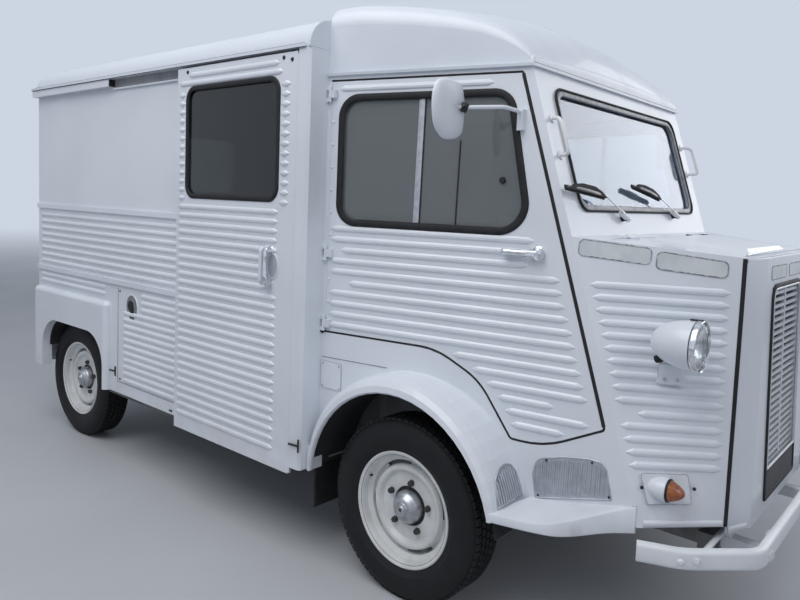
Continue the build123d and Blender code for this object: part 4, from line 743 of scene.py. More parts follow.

# The sliding door's pull handle. A cast and chromed grip, thicker at its foot, stands over a
# shallow pressed hollow floored with painted shade. A folded lap runs down the door's front edge.
HANDLE_X, HANDLE_TOP, HANDLE_FOOT = -0.652, 1.252, 1.120
GRIP = [
    # height, distance out from the door, radius
    (1.262, 0.024, 0.003), (1.259, 0.026, 0.0080), (1.250, 0.028, 0.0100), (1.225, 0.030, 0.0075),
    (1.190, 0.031, 0.0085), (1.155, 0.030, 0.0110), (1.135, 0.028, 0.0138), (1.118, 0.024, 0.0140),
    (1.108, 0.019, 0.0105), (1.104, 0.016, 0.003),
]
GRIP_BOSS = [(0, 34), (8, 34), (13.5, 30), (15, 4), (19, 0), (0, 0)]
GRIP_SCREW = [(0, 35.2), (5, 35.2), (5, 33), (0, 33)]
GRIP_FOOT = [(0, 24), (10, 24), (12, 2), (15, 0), (0, 0)]


def oval(a, b, reach_a, reach_b, count):
    """A closed line of points round the middle (a, b)."""
    turns = [2 * math.pi * k / count for k in range(count)]
    return [(a + reach_a * math.cos(t), b + reach_b * math.sin(t)) for t in turns]


def on_slider(line, out):
    """A line of (x, z) places on the sliding door, moved out from it."""
    return [spot(x, -SLIDING_DOOR_Y - out, z) for x, z in line]


# Painted shade: the grey floor of the pressed hollow behind the grip.
handle_hollow_shade = drifting("handle_hollow_shade", (0.50, 0.53, 0.58), (0.44, 0.47, 0.52), 14, 0.4)
pressed_line = oval(HANDLE_X + 0.012, 1.190, 0.034, 0.052, 16)
handle_top, handle_foot = on_slider([(HANDLE_X, HANDLE_TOP), (HANDLE_X, HANDLE_FOOT)], 0)
grip_rings = [
    [spot(x, y, z) for x, y in oval(HANDLE_X, -SLIDING_DOOR_Y - out, r, r, 16)] for z, out, r in GRIP
]
handle = joined(
    lofted(grip_rings, chrome),
    turned(GRIP_BOSS, handle_top, (0, -1, 0), chrome, 32),
    turned(GRIP_SCREW, handle_top, (0, -1, 0), dark_steel, 16),
    turned(GRIP_FOOT, handle_foot, (0, -1, 0), chrome, 32),
    plate(on_slider(pressed_line, 0.0012), (0, -1, 0), 0.001, handle_hollow_shade),
    strip([on_slider(pressed_line, 0.001)], 0.008, 0.004, (0, -1, 0), body_white, closed=True),
)
add_piece("sliding_door_handle", handle, "sliding_door", "counter_steel")
lap_line = on_slider([(-0.5185, 0.362), (-0.5185, 2.03)], -0.0035)
lap = strip([lap_line], 0.012, 0.006, (0, -1, 0), body_white, tree=flat_strip)
add_piece("sliding_door_lap", lap, "sliding_door", "body_white")

# Small parts on the load body's right side: the access panel's edge with its black knob in an oval
# hollow floored with painted shade, two dark T-shaped catches, and painted shade under the door's rail.
PANEL_REAR, PANEL_FRONT, PANEL_LOW, PANEL_TOP = -1.948, -1.352, 0.447, 0.953
KNOB = [(0, 3.5), (16, 3.5), (26, 3), (29, 1.5), (29, 0.5), (0, 0.5)]
CATCHES = [(-1.972, 0.498, 0.003), (-0.452, 0.488, 0.040)]  # x, height, distance out from the wall
RAIL_REAR, RAIL_FRONT, RAIL_LOW, RAIL_TOP, RAIL_Y = -1.994, -0.523, 2.006, 2.0475, -0.9515


def on_wall(line, out):
    """A line of (x, z) places on the load body's right wall, moved out from it."""
    return [spot(x, -BODY_SIDE_Y - out, z) for x, z in line]


shadow_paint = drifting("shadow_paint", (0.24, 0.25, 0.27), (0.15, 0.16, 0.17), 20, 0.6)
panel_lines = [
    on_wall([(PANEL_REAR, PANEL_TOP), (PANEL_REAR, PANEL_LOW)], 0.0005),
    on_wall([(PANEL_REAR, PANEL_LOW), (PANEL_FRONT, PANEL_LOW)], 0.0005),
]
panel_gap = strip(panel_lines, 0.004, 0.003, (0, -1, 0), shadow_paint, tree=flat_strip)
add_piece("access_panel_gap", panel_gap, "body", "body_white")
# Painted shade: the grey floor of the knob's oval hollow.
hollow_line = on_wall(oval(-1.806, 0.864, 0.058, 0.068, 28), 0.001)
hollow = joined(
    plate(hollow_line, (0, -1, 0), 0.0008, shadow_paint),
    strip([hollow_line], 0.008, 0.006, (0, -1, 0), fresh_white, closed=True),
)
add_piece("access_panel_hollow", hollow, "body", "body_white")
tail_low, tail_high = spot(-1.822, -BODY_SIDE_Y - 0.0034, 0.812), spot(-1.786, -BODY_SIDE_Y - 0.0004, 0.872)
knob = joined(
    turned(KNOB, spot(-1.818, -BODY_SIDE_Y, 0.872), (0, -1, 0), black_rubber, 32),
    softened_box(tail_low, tail_high, 0.001, black_rubber),
)
add_piece("access_panel_knob", knob, "body", "tyre")
catch_lines = []
for x, z, out in CATCHES:
    bar, tongue = [(x, z + 0.026), (x, z - 0.026)], [(x, z), (x - 0.058, z - 0.004)]
    catch_lines += [on_wall(bar, out), on_wall(tongue, out)]
add_piece("side_catches", strip(catch_lines, 0.009, 0.007, (0, -1, 0), dark_steel), "body", "chassis_grey")
# Painted shade: a grey plate in the open channel under the door's rail.
rail_shade = drifting("rail_shade", (0.34, 0.35, 0.37), (0.27, 0.28, 0.30), 12, 0.6)
rail_channel_shade = [
    spot(x, RAIL_Y, z)
    for x, z in ((RAIL_REAR, RAIL_TOP), (RAIL_FRONT, RAIL_TOP), (RAIL_FRONT, RAIL_LOW), (RAIL_REAR, RAIL_LOW))
]
rail_hollow = joined(
    plate(rail_channel_shade, (0, -1, 0), 0.002, rail_shade),
    softened_box(spot(-1.998, -0.984, 2.010), spot(-1.9915, -0.951, 2.046), 0.001, dark_steel, 1),
)
add_piece("door_rail_hollow", rail_hollow, "body", "body_white")

# The panel behind each front wheel: a lap seam and a screwed square cover. Black underseal
# coats the inside of each arch, and a rubber flap hangs behind the front wheel.
COVER = [(-0.444, 0.822), (-0.350, 0.816), (-0.348, 0.709), (-0.444, 0.714)]
COVER_SCREWS = [(-0.436, 0.813), (-0.358, 0.807), (-0.356, 0.718), (-0.436, 0.722)]
FRONT_ARCH_HEIGHT = 0.355
FRONT_ARCH_SECTION = [(0.4375, 0.70), (0.4375, 0.932), (0.4350, 0.932), (0.4350, 0.70)]
REAR_ARCH = [(-2.8055, 0.10), (-2.8055, 0.6845), (-2.0585, 0.6845), (-2.0585, 0.10)]
LINER, LINER_IN, LINER_OUT = 0.0016, 0.70, 0.938
underseal = drifting("underseal", (0.014, 0.014, 0.016), (0.022, 0.021, 0.021), 20, 0.9, 0, 0, 0.3, 150)
rear_line = [point for point in rounded(REAR_ARCH, [0.05, 0.1795, 0.1795, 0.05]) if point.y > 0.39]
inner_line = shrunk(rear_line, Vector((-2.43, 0.40)), LINER)
inner_line[0], inner_line[-1] = rear_line[0] + Vector((LINER, 0)), rear_line[-1] - Vector((LINER, 0))
for side, place in SIDES:
    facing = way_out(cab_width, -0.3, 0.8, side)
    seam = side_line(cab_width, [(x, 0.837) for x in (-0.446, -0.3, -0.14)], side, 0.0005)
    screws = side_line(cab_width, COVER_SCREWS, side, 0.005)
    cover = joined(
        strip([seam], 0.003, 0.003, facing, shadow_paint, tree=flat_strip),
        plate(side_line(cab_width, COVER, side, 0.004), facing, 0.004, body_white),
        strip([side_line(cab_width, COVER, side, 0.0012)], 0.003, 0.0025, facing, shadow_paint, closed=True),
        studs(screws, 10, 0.004, 0.003, 0.002, facing, satin_metal),
    )
    add_piece(f"fender_cover_{place}", cover, "body", "body_white")
    liner = [
        [
            spot(r * math.cos(angle), side * y, FRONT_ARCH_HEIGHT + r * math.sin(angle))
            for r, y in FRONT_ARCH_SECTION
        ]
        for angle in [math.radians(5 + 170 * k / 32) for k in range(33)]
    ]
    add_piece(f"front_arch_liner_{place}", lofted(liner, underseal), "body", "chassis_grey")
    liner = [
        [spot(p.x, side * y, p.y) for p, y in ((a, LINER_IN), (a, LINER_OUT), (b, LINER_OUT), (b, LINER_IN))]
        for a, b in zip(rear_line, inner_line)
    ]
    add_piece(f"rear_arch_liner_{place}", lofted(liner, underseal), "body", "chassis_grey")
    low, high = spot(-0.462, side * 0.78 - 0.11, 0.205), spot(-0.452, side * 0.78 + 0.11, 0.392)
    add_piece(f"mud_flap_{place}", softened_box(low, high, 0.003, black_rubber), "body", "tyre")

# The nose sides. Two air openings on each side are covered with screwed sheet in sealer, and
# a wide black rubber strip closes the joint between the sides and the nose front.
VENTS = [
    [(0.549, 1.374), (0.755, 1.354), (0.755, 1.302), (0.549, 1.321)],
    [(0.771, 1.347), (0.963, 1.324), (0.963, 1.273), (0.771, 1.291)],
]
sealer = drifting("sealer", (0.18, 0.19, 0.20), (0.50, 0.52, 0.54), 70, 0.6)
blank_sheet = drifting("blank_sheet", (0.66, 0.69, 0.71), (0.58, 0.61, 0.63), 14, 0.38, 0, 0.2, 0.06, 60)
for side, place in SIDES:
    parts = []
    for corners in VENTS:
        facing = way_out(nose_width, corners[0][0] + 0.1, 1.32, side)
        sheet = side_line(nose_width, rounded(corners, [0.016] * 4), side, 0.0016)
        edge = [point - 0.0006 * facing for point in sheet]
        parts += [
            plate(sheet, facing, 0.003, blank_sheet),
            strip([edge], 0.0045, 0.0035, facing, sealer, closed=True),
        ]
    add_piece(f"nose_vents_{place}", joined(*parts), "body", "body_white")
    seam = [spot(1.0055, side * 0.4795, z) for z in (1.337, 1.05, 0.75, 0.482)]
    seam_strip = strip([seam], 0.014, 0.010, Vector((0.25, side, 0)).normalized(), black_rubber)
    add_piece(f"nose_seam_{place}", seam_strip, "body", "tyre")

# The hems. The sheet is rolled at the lower edge of the nose sides and of the nose front,
# which stiffens it.
for side, place in SIDES:
    hem = side_line(nose_width, [(x, 0.492) for x in (0.815, 0.90, 0.996)], side, 0.002)
    front_hem = [spot(1.012, side * 0.470, 0.467), spot(1.046, side * 0.392, 0.467)]
    hem_roll = strip([hem, front_hem], 0.022, 0.012, (0.66, side * 0.75, 0), body_white)
    add_piece(f"nose_hem_{place}", hem_roll, "body", "body_white")

# The hood. A bright strip lies along its front edge, and two small holes for a catch are
# drilled near the cowl.
HOLE_X, HOLES_Y = 0.640, (0.120, 0.318)
hood_top = 1.380 - 0.083 * (HOLE_X - 0.524) + 0.0045
# Painted shade: each hole is drawn as a low dark disc on the hood.
holes = studs([spot(HOLE_X, y, hood_top) for y in HOLES_Y], 20, 0.017, 0.013, 0.007, (0.08, 0, 1), dark_steel)
add_piece("hood_holes", holes, "hood", "chassis_grey")
strip_run = [spot(0.9965, y, z) for y, z in ((-0.428, 1.346), (-0.2, 1.350), (0.02, 1.352))]
add_piece("hood_strip", strip([strip_run], 0.005, 0.006, (0, 0, 1), satin_metal), "hood", "counter_steel")

# The grille. Light grey pressed slats stand in a frame between two fields, with a black
# rubber surround, two covered openings above and a plain black plate below.
FACE_X, FACE_LOW = 1.054, 0.480
FACE_SLOPE = (FACE_X - 1.028) / (1.312 - FACE_LOW)
FACE_OUT = Vector((1, 0, FACE_SLOPE)).normalized()
FACE_BLANKS = ((-0.235, -0.022), (0.022, 0.235))
grille_grey = drifting("grille_grey", (0.63, 0.655, 0.69), (0.55, 0.575, 0.61), 18, 0.35, coat=0.2)
black_enamel = drifting("black_enamel", (0.012, 0.012, 0.014), (0.02, 0.02, 0.022), 12, 0.5)
finish_nodes(grille_grey, ["grille"])


def face_line(left, right, top, low, radii, out):
    """A closed line on the nose's front, which leans back a little, with its corners rounded."""
    line = rounded([(left, top), (right, top), (right, low), (left, low)], radii)
    return [spot(FACE_X - FACE_SLOPE * (z - FACE_LOW), y, z) + out * FACE_OUT for y, z in line]


surround = face_line(-0.214, 0.214, 1.233, 0.502, [0.045, 0.045, 0.012, 0.012], 0.001)
surround_strip = strip([surround], 0.018, 0.012, FACE_OUT, black_rubber, closed=True)
add_piece("grille_surround", surround_strip, "body", "tyre")
field = face_line(-0.205, 0.205, 1.224, 0.606, [0.040, 0.040, 0.006, 0.006], 0.003)
bead = strip([field], 0.010, 0.010, FACE_OUT, grille_grey, closed=True)
add_piece("grille_bead", bead, "body", "grille_grey")
low_plate = face_line(-0.203, 0.203, 0.593, 0.512, [0.008] * 4, 0.003)
add_piece("front_plate", plate(low_plate, FACE_OUT, 0.006, black_enamel), "body", "tyre")
blanks = []
for low, high in FACE_BLANKS:
    sheet, edge = [face_line(low, high, 1.303, 1.258, [0.010] * 4, out) for out in (0.001, 0.0004)]
    blanks.append(plate(sheet, FACE_OUT, 0.003, blank_sheet))
    blanks.append(strip([edge], 0.004, 0.003, FACE_OUT, sealer, closed=True))
add_piece("nose_face_blanks", joined(*blanks), "body", "body_white")

# The headlamps. Spun bullet shells stand on folded brackets, each with a chromed rim and a
# small peak, a silvered bowl with its bulb, and clear glass pressed with upright flutes.
LAMP_PLACE = (0.955, 0.672, 1.078)
LENS_RADIUS, LENS_STEPS = 0.0742, 30
SHELL = [
    (0, -150), (12, -149.5), (24, -146.5), (36, -139), (48, -125), (58, -108), (66, -88), (71.5, -66),
    (75, -44), (76.5, -24), (76.5, -20), (73.5, -20), (72, -44), (68.5, -66), (62, -90), (50, -116),
    (30, -138), (0, -145),
]
RIM = [
    (76.2, -16), (78.5, -16), (79.7, -12), (79.7, -4), (78.5, 0), (76.2, 0.8), (74.2, -0.4), (73.8, -6),
    (75.8, -8),
]
BOWL = [
    (73.5, -12), (68, -24), (56, -42), (42, -56), (24, -65), (0, -68), (0, -70), (25, -67), (43, -58),
    (57, -44), (69.2, -25), (74.5, -13),
]
BULB = [(0, -22), (6, -24), (9, -32), (8, -44), (6, -60), (0, -64)]
COLLAR = [(0, -12), (12, -12), (14, 0), (11, 12), (0, 12)]
BRACKET_LEG = [(0.806, 0.606, 0.930), (0.876, 0.574, 0.930), (0.872, 0.578, 1.004), (0.812, 0.606, 1.004)]
BRACKET_TOP = [(0.812, 0.606, 1.006), (0.872, 0.578, 1.006), (0.890, 0.668, 1.006), (0.832, 0.668, 1.006)]
lamp_glass = window_glass("lamp_glass", (0.93, 0.95, 0.95), 0.01)
silver_bowl = drifting("silver_bowl", (0.82, 0.83, 0.84), (0.70, 0.71, 0.72), 30, 0.14, 1)


def fluted_glass(centre, radius, finish):
    """A shallow domed lens with pressed flutes across it."""
    shape = bmesh.new()
    grid = {}
    places = range(-LENS_STEPS, LENS_STEPS + 1)
    for i, j in [(i, j) for i in places for j in places]:
        y, z = radius * i / LENS_STEPS, radius * j / LENS_STEPS
        reach = math.hypot(y, z) / radius
        if reach > 1 + 1.2 / LENS_STEPS:
            continue
        if reach > 1:
            y, z, reach = y / reach, z / reach, 1.0
        dome = 0.010 * (1 - reach * reach)
        flute = 0.0010 * math.cos(i * math.pi / 2) * (1 - reach ** 6)
        grid[i, j] = shape.verts.new(centre + Vector((dome + flute, y, z)))
    for i, j in [(i, j) for i in places[:-1] for j in places[:-1]]:
        ring = [(i, j), (i + 1, j), (i + 1, j + 1), (i, j + 1)]
        corners = [grid[key] for key in ring if key in grid]
        if len(corners) > 2:
            shape.faces.new(corners)
    bmesh.ops.remove_doubles(shape, verts=shape.verts[:], dist=1e-5)
    bmesh.ops.solidify(shape, geom=shape.faces[:], thickness=0.003)
    return to_mesh(shape, finish)


for side, place in SIDES:
    x, y, z = LAMP_PLACE
    centre = spot(x, side * y, z)
    leg, top = [[spot(a, side * b, c) for a, b, c in sheet] for sheet in (BRACKET_LEG, BRACKET_TOP)]
    away = (leg[1] - leg[0]).cross(leg[2] - leg[1]).normalized()
    away = away if away.y * side > 0 else -away
    folds = [[leg[3], leg[2]], [leg[0], leg[3], top[3]], [leg[1], leg[2], top[2]]]
    bolts = [leg[0].lerp(leg[1], t) + Vector((0, 0, 0.016)) + 0.006 * away for t in (0.26, 0.76)]
    shell = joined(
        turned(SHELL, centre, (1, 0, 0), body_white, 72),
        plate([point + 0.006 * away for point in leg], away, 0.005, body_white),
        plate(top, (0, 0, 1), 0.005, body_white),
        strip(folds, 0.010, 0.008, away, body_white),
        studs(bolts, 6, 0.006, 0.006, 0.005, away, satin_metal),
        turned(COLLAR, spot(0.828, side * 0.668, 1.022), (-1, 0, -0.5), black_rubber, 20),
    )
    add_piece(f"headlamp_shell_{place}", shell, "body", "body_white", "headlamps")
    peak_low, peak_high = centre + Vector((-0.040, -0.010, 0.0770)), centre + Vector((0.0, 0.010, 0.0800))
    rim = joined(
        turned(RIM, centre, (1, 0, 0), chrome, 72), softened_box(peak_low, peak_high, 0.0012, dark_steel),
    )
    add_piece(f"headlamp_rim_{place}", rim, "body", "counter_steel", "headlamps")
    bowl = joined(
        turned(BOWL, centre, (1, 0, 0), silver_bowl, 48), turned(BULB, centre, (1, 0, 0), lamp_glass, 20),
    )
    add_piece(f"headlamp_bowl_{place}", bowl, "body", "counter_steel", "headlamps")
    lens = fluted_glass(centre + Vector((-0.0085, 0, 0)), LENS_RADIUS, lamp_glass)
    add_piece(f"headlamp_glass_{place}", lens, "body", "glass", "headlamps")

# The indicators and tail lamps. Amber cones look ahead from white half bullets on screwed
# plates, and the tail lamps are ribbed red blocks on black bases.
INDICATOR_PLATE = [(0.789, 0.647), (0.903, 0.649), (0.920, 0.555), (0.816, 0.553)]
INDICATOR_SCREWS = [(0.797, 0.603), (0.922, 0.604)]
INDICATOR_MIDDLE = (0.856, 0.600)
HOUSING = [(0, 0), (35, 0), (36.8, -3), (37, -10), (35.5, -30), (30, -56), (20, -78), (9, -90), (0, -93)]
RING = [(30, 0), (36.2, 0), (37.2, 3), (36.2, 7), (30, 7)]
CONE = [(0, 52), (6, 50.5), (12, 46.5), (18, 40), (24, 31), (29, 20), (33, 10), (33.8, 6), (0, 6)]
TAIL_LAMP_Y, TAIL_BARS = 0.84, (0.585, 0.607, 0.63, 0.653, 0.675)
amber = drifting("amber_lens", (0.46, 0.135, 0.03), (0.28, 0.07, 0.018), 60, 0.2, coat=0.5)
amber.node_tree.nodes["Principled BSDF"].inputs["Transmission Weight"].default_value = 0.2
red_lens = drifting("red_lens", (0.50, 0.02, 0.015), (0.36, 0.012, 0.01), 60, 0.18, coat=0.5)
# A pale grey for the painted shade line round each indicator plate's edge.
indicator_edge_shade = drifting("indicator_edge_shade", (0.50, 0.52, 0.55), (0.34, 0.35, 0.37), 60, 0.6)
for side, place in SIDES:
    facing = way_out(nose_width, *INDICATOR_MIDDLE, side)
    sheet = side_line(nose_width, rounded(INDICATOR_PLATE, [0.008] * 4), side, 0.0085)
    edge = [point - 0.0005 * facing for point in sheet]
    screws = side_line(nose_width, INDICATOR_SCREWS, side, 0.0095)
    centre = on_side(nose_width, *INDICATOR_MIDDLE, side, 0.022)
    housing = joined(
        plate(sheet, facing, 0.009, body_white),
        # Painted shade: a thin grey line round the plate's edge.
        strip([edge], 0.003, 0.003, facing, indicator_edge_shade, closed=True),
        studs(screws, 12, 0.006, 0.005, 0.003, facing, dark_steel),
        turned(HOUSING, centre, (1, 0, 0), body_white, 40),
        turned(RING, centre, (1, 0, 0), black_rubber, 40),
    )
    add_piece(f"indicator_plate_{place}", housing, "body", "body_white", "signal_lamps")
    lens = turned(CONE, centre, (1, 0, 0), amber, 40)
    add_piece(f"indicator_lens_{place}", lens, "body", "lamp_amber", "signal_lamps")
    low = spot(BODY_REAR - 0.014, side * TAIL_LAMP_Y - 0.040, 0.560)
    high = spot(BODY_REAR, side * TAIL_LAMP_Y + 0.040, 0.700)
    lens_low, lens_high = low + Vector((-0.024, 0.006, 0.006)), high + Vector((-0.0135, -0.006, -0.006))
    bars = [[spot(BODY_REAR - 0.0375, side * TAIL_LAMP_Y + y, z) for y in (-0.030, 0.030)] for z in TAIL_BARS]
    tail_lamp = joined(
        softened_box(low, high, 0.004, black_rubber), softened_box(lens_low, lens_high, 0.007, red_lens, 3),
        strip(bars, 0.004, 0.002, (-1, 0, 0), red_lens),
    )
    add_piece(f"tail_lamp_{place}", tail_lamp, "body", "lamp_amber", "signal_lamps")

# The kick plates. Thin aluminium sheet, ribbed upright, is screwed to the cab's side above
# the step and to the front face of the fender, where shoes would scrape the paint.
KICK = [
    (0.472, 0.491), (0.457, 0.570), (0.468, 0.624), (0.555, 0.649), (0.640, 0.661), (0.692, 0.657),
    (0.705, 0.602), (0.719, 0.547),
]
KICK_RADII = [0.004, 0.030, 0.034, 0.080, 0.060, 0.034, 0.060, 0.004]
KICK_SCREWS = [(0.480, 0.502), (0.500, 0.626), (0.650, 0.652), (0.712, 0.554)]
SHIN = [
    (0.915, 0.489), (0.910, 0.536), (0.894, 0.580), (0.862, 0.600), (0.824, 0.606), (0.790, 0.598),
    (0.773, 0.572), (0.766, 0.493),
]
SHIN_RADII = [0.003, 0.030, 0.025, 0.030, 0.040, 0.020, 0.020, 0.003]
SHIN_FACING = (1, 0, 0.35)
RIB_WIDTH, RIB_HEIGHT, EDGE_WIDTH, EDGE_HEIGHT = 0.0085, 0.0075, 0.006, 0.004
CROWN_X, CROWN_Z, CROWN_RADIUS = -0.008, 0.386, 0.456
aluminium = drifting("aluminium", (0.50, 0.52, 0.56), (0.42, 0.44, 0.48), 30, 0.36, 0.7, 0, 0.04, 300)


def upright_ribs(line, pitch, margin):
    """Upright lines, spaced evenly inside a closed outline and stopping short of it."""
    low, high = min(a for a, _ in line) + margin, max(a for a, _ in line) - margin
    count = int((high - low) / pitch)
    ribs = []
    for a in [low + (high - low) * k / count for k in range(count + 1)]:
        cuts = [
            here[1] + (on[1] - here[1]) * (a - here[0]) / (on[0] - here[0])
            for here, on in zip(line, line[1:] + line[:1]) if (here[0] - a) * (on[0] - a) < 0
        ]
        if len(cuts) >= 2 and max(cuts) - min(cuts) > 3 * margin:
            ribs.append([(a, min(cuts) + margin), (a, max(cuts) - margin)])
    return ribs


def on_shin(y, z, side, out):
    """A place on the fender's front face, which curves back with height and round its outer edge."""
    away = Vector((math.sqrt(CROWN_RADIUS ** 2 - (z - CROWN_Z) ** 2), 0, z - CROWN_Z)).normalized()
    drop = 0.034 * max(0.0, (y - 0.860) / 0.095) ** 3
    return spot(CROWN_X, side * y, CROWN_Z) + away * (CROWN_RADIUS + out - drop)


kick_line, shin_line = rounded(KICK, KICK_RADII), rounded(SHIN, SHIN_RADII, run_step=0.03)
for side, place in SIDES:
    facing = way_out(cab_width, 0.58, 0.56, side)
    sheet = side_line(cab_width, kick_line, side, 0.0012)
    ribs = [side_line(cab_width, rib, side, 0.0014) for rib in upright_ribs(kick_line, 0.0140, 0.012)]
    kick_plate = joined(
        plate(sheet, facing, 0.002, aluminium),
        strip([sheet], EDGE_WIDTH, EDGE_HEIGHT, facing, aluminium, closed=True),
        strip(ribs, RIB_WIDTH, RIB_HEIGHT, facing, aluminium),
        studs(side_line(cab_width, KICK_SCREWS, side, 0.004), 10, 0.004, 0.003, 0.003, facing, dark_steel),
    )
    add_piece(f"kick_plate_side_{place}", kick_plate, "body", "counter_steel")
    ribs = [
        [on_shin(y, low + (high - low) * k / 6, side, 0.0016) for k in range(7)]
        for (y, low), (_, high) in upright_ribs(shin_line, 0.0125, 0.009)
    ]
    rim_path, front, back = [
        [on_shin(y, z, side, out) for y, z in shin_line] for out in (0.0015, 0.0012, -0.001)
    ]
    shin_plate = joined(
        strip([rim_path], EDGE_WIDTH, EDGE_HEIGHT, SHIN_FACING, aluminium, closed=True),
        strip(ribs, RIB_WIDTH, RIB_HEIGHT, SHIN_FACING, aluminium),
        lofted([front, back], aluminium),
    )
    add_piece(f"kick_plate_fender_{place}", shin_plate, "body", "counter_steel")

# The step ahead of each front wheel. A folded steel tray falls from the cab's side to a soft
# crease, then turns down to its lower edge. It is welded between the fender and the nose.
STEP_OUTER = [
    (0.414, 0.9535, 0.4855), (0.560, 0.9115, 0.4865), (0.641, 0.8675, 0.5030), (0.731, 0.7550, 0.5260),
    (0.798, 0.6950, 0.5450),
]
STEP_INNER = [(0.452, 0.487), (0.530, 0.497), (0.610, 0.508), (0.700, 0.526), (0.797, 0.546)]
STEP_LOW = [0.4555, 0.4535, 0.4535, 0.4570, 0.4590]
step_rings = []
for edge, root, low in zip(
    eased(STEP_OUTER, 8), eased([(x, cab_width(x, z) - 0.004, z) for x, z in STEP_INNER], 8),
    eased([(low, 0, 0) for low in STEP_LOW], 8),
):
    away = Vector((edge.x - root.x, edge.y - root.y, 0)).normalized()
    foot = Vector((edge.x, edge.y, low.x))
    step_rings.append([
        root, root.lerp(edge, 0.5) + Vector((0, 0, 0.003)), edge - 0.010 * away + Vector((0, 0, 0.0008)),
        edge - 0.003 * away, edge - Vector((0, 0, 0.004)), foot + Vector((0, 0, 0.004)), foot - 0.004 * away,
        Vector((root.x, root.y, low.x)),
    ])
for side, place in SIDES:
    rings = [[spot(point.x, side * point.y, point.z) for point in ring] for ring in step_rings]
    add_piece(f"cab_step_{place}", lofted(rings, body_white), "body", "body_white")

# The bumpers. Steel channel with rolled edges, bent round the nose and brush painted. Domed
# bolts hold the bar to two arms, and a short wrapped piece guards each rear corner.
BUMPER_FRONT = 1.134
CHANNEL = [
    # distance out from the path and height, in millimetres
    (-26, 458), (-10, 458), (-4.5, 456.2), (-1, 451.5), (0, 445), (0, 410), (-1, 403.5), (-4.5, 398.8),
    (-10, 397), (-26, 397), (-26, 400.2), (-10.5, 400.2), (-5.2, 404.5), (-4.2, 411), (-4.2, 444),
    (-5.2, 450.5), (-10.5, 454.8), (-26, 454.8),
]
REAR_CHANNEL = [(out, 385 + (height - 397) * 1.18) for out, height in CHANNEL]
FRONT_HALF = [(0.826, -0.746), (0.956, -0.697), (BUMPER_FRONT, -0.5235)]
REAR_WRAP = [(-2.981, -0.775), (-2.981, -0.960), (-2.890, -0.962)]
ARMS = [
    # two opposite corners of each box
    ((0.960, 0.296, 0.350), (1.118, 0.344, 0.390)), ((1.092, 0.296, 0.385), (1.118, 0.344, 0.440)),
    ((0.970, 0.300, 0.385), (0.994, 0.340, 0.436)), ((-2.976, 0.820, 0.410), (-2.926, 0.860, 0.445)),
]
bumper_white = drifting("bumper_white", (0.76, 0.78, 0.81), (0.71, 0.73, 0.76), 14, 0.36, 0, 0.2, 0.06, 90)
dusted(bumper_white, (0.42, 0.40, 0.37), 0.30, 0.47, 0.3)


def bent(points, setback, steps=6):
    """An open line through points, its corners rounded."""
    points = [Vector(point) for point in points]
    line = [points[0]]
    for back, here, on in zip(points, points[1:], points[2:]):
        start = here + (back - here).normalized() * setback
        end = here + (on - here).normalized() * setback
        for t in [k / steps for k in range(steps + 1)]:
            line.append(start.lerp(here, t).lerp(here.lerp(end, t), t))
    return line + [points[-1]]


def channel_along(path, section):
    """A folded channel along a level path. Out lies right of the path."""
    rings = []
    for i, here in enumerate(path):
        along = (path[min(i + 1, len(path) - 1)] - path[max(i - 1, 0)]).normalized()
        out = Vector((along.y, -along.x, 0))
        rings.append([spot(here.x, here.y, height * MM) + out * (reach * MM) for reach, height in section])
    return lofted(rings, bumper_white)


front_bar = bent(FRONT_HALF + [(x, -y) for x, y in FRONT_HALF[::-1]], 0.045)
right_wrap = bent(REAR_WRAP, 0.030)
left_wrap = [Vector((point.x, -point.y)) for point in right_wrap[::-1]]
bumper_parts = [channel_along(front_bar, CHANNEL)]
bumper_parts += [channel_along(line, REAR_CHANNEL) for line in (right_wrap, left_wrap)]
for side, _ in SIDES:
    for (x0, y0, z0), (x1, y1, z1) in ARMS:
        low_y, high_y = sorted((side * y0, side * y1))
        bumper_parts.append(softened_box(spot(x0, low_y, z0), spot(x1, high_y, z1), 0.003, bumper_white))
    strut = [spot(0.982, side * 0.330, 0.432), spot(0.982, side * 0.680, 0.432)]
    end_bolt = [spot(0.945, side * 0.7005, 0.425)]
    bumper_parts.append(strip([strut], 0.020, 0.016, (0, 0, 1), bumper_white))
    bumper_parts.append(studs(end_bolt, 14, 0.011, 0.006, 0.007, (0.25, side, 0), bumper_white))
bar_bolts = [spot(BUMPER_FRONT - 0.0005, y, 0.427) for y in (-0.459, -0.435, 0.435, 0.459)]
bumper_parts.append(studs(bar_bolts, 14, 0.009, 0.005, 0.0040, (1, 0, 0), fresh_white))
add_piece("bumper_channels", joined(*bumper_parts), "body", "bumper_white", "bumpers")

# The wheels. Pressed steel, painted off-white, with a raised ring, four slots and a spun hub cap over
# a dark disc, the dark hub with painted shade in its hole. The tyres are cross-ply rubber with a blocky
# tread.
TRACK_HALF, HUB_HEIGHT, WHEELBASE = 0.814, 0.339, 2.527
RIM_LIP = [(211.5, 71.5), (215.5, 70.5), (216.8, 67), (214.5, 63), (206, 60), (201.2, 53)]
RIM_WELL = [(199, 34), (181, 24), (179, 17), (179, -18), (181, -26), (199, -37)]
RIM_INSIDE = [(174, 20), (176, 29), (193, 40), (195, 54), (198.5, 64), (207, 69)]
DISC = [
    (175.5, 23), (174, 16), (169, 12.5), (164, 13.5), (160, 22.5), (157, 32), (152.5, 37.2), (145, 38),
    (139.5, 36.6), (135, 32.5), (131, 26), (126.5, 21.2), (120, 20.2), (98, 20.2), (78, 20.2), (74.5, 18.5),
    (73.8, 12),
]
WHEEL_STEPS = 96
SLOT_RING, SLOT_HALF, SLOT_TURN = (1, 4), math.radians(21), math.radians(25)
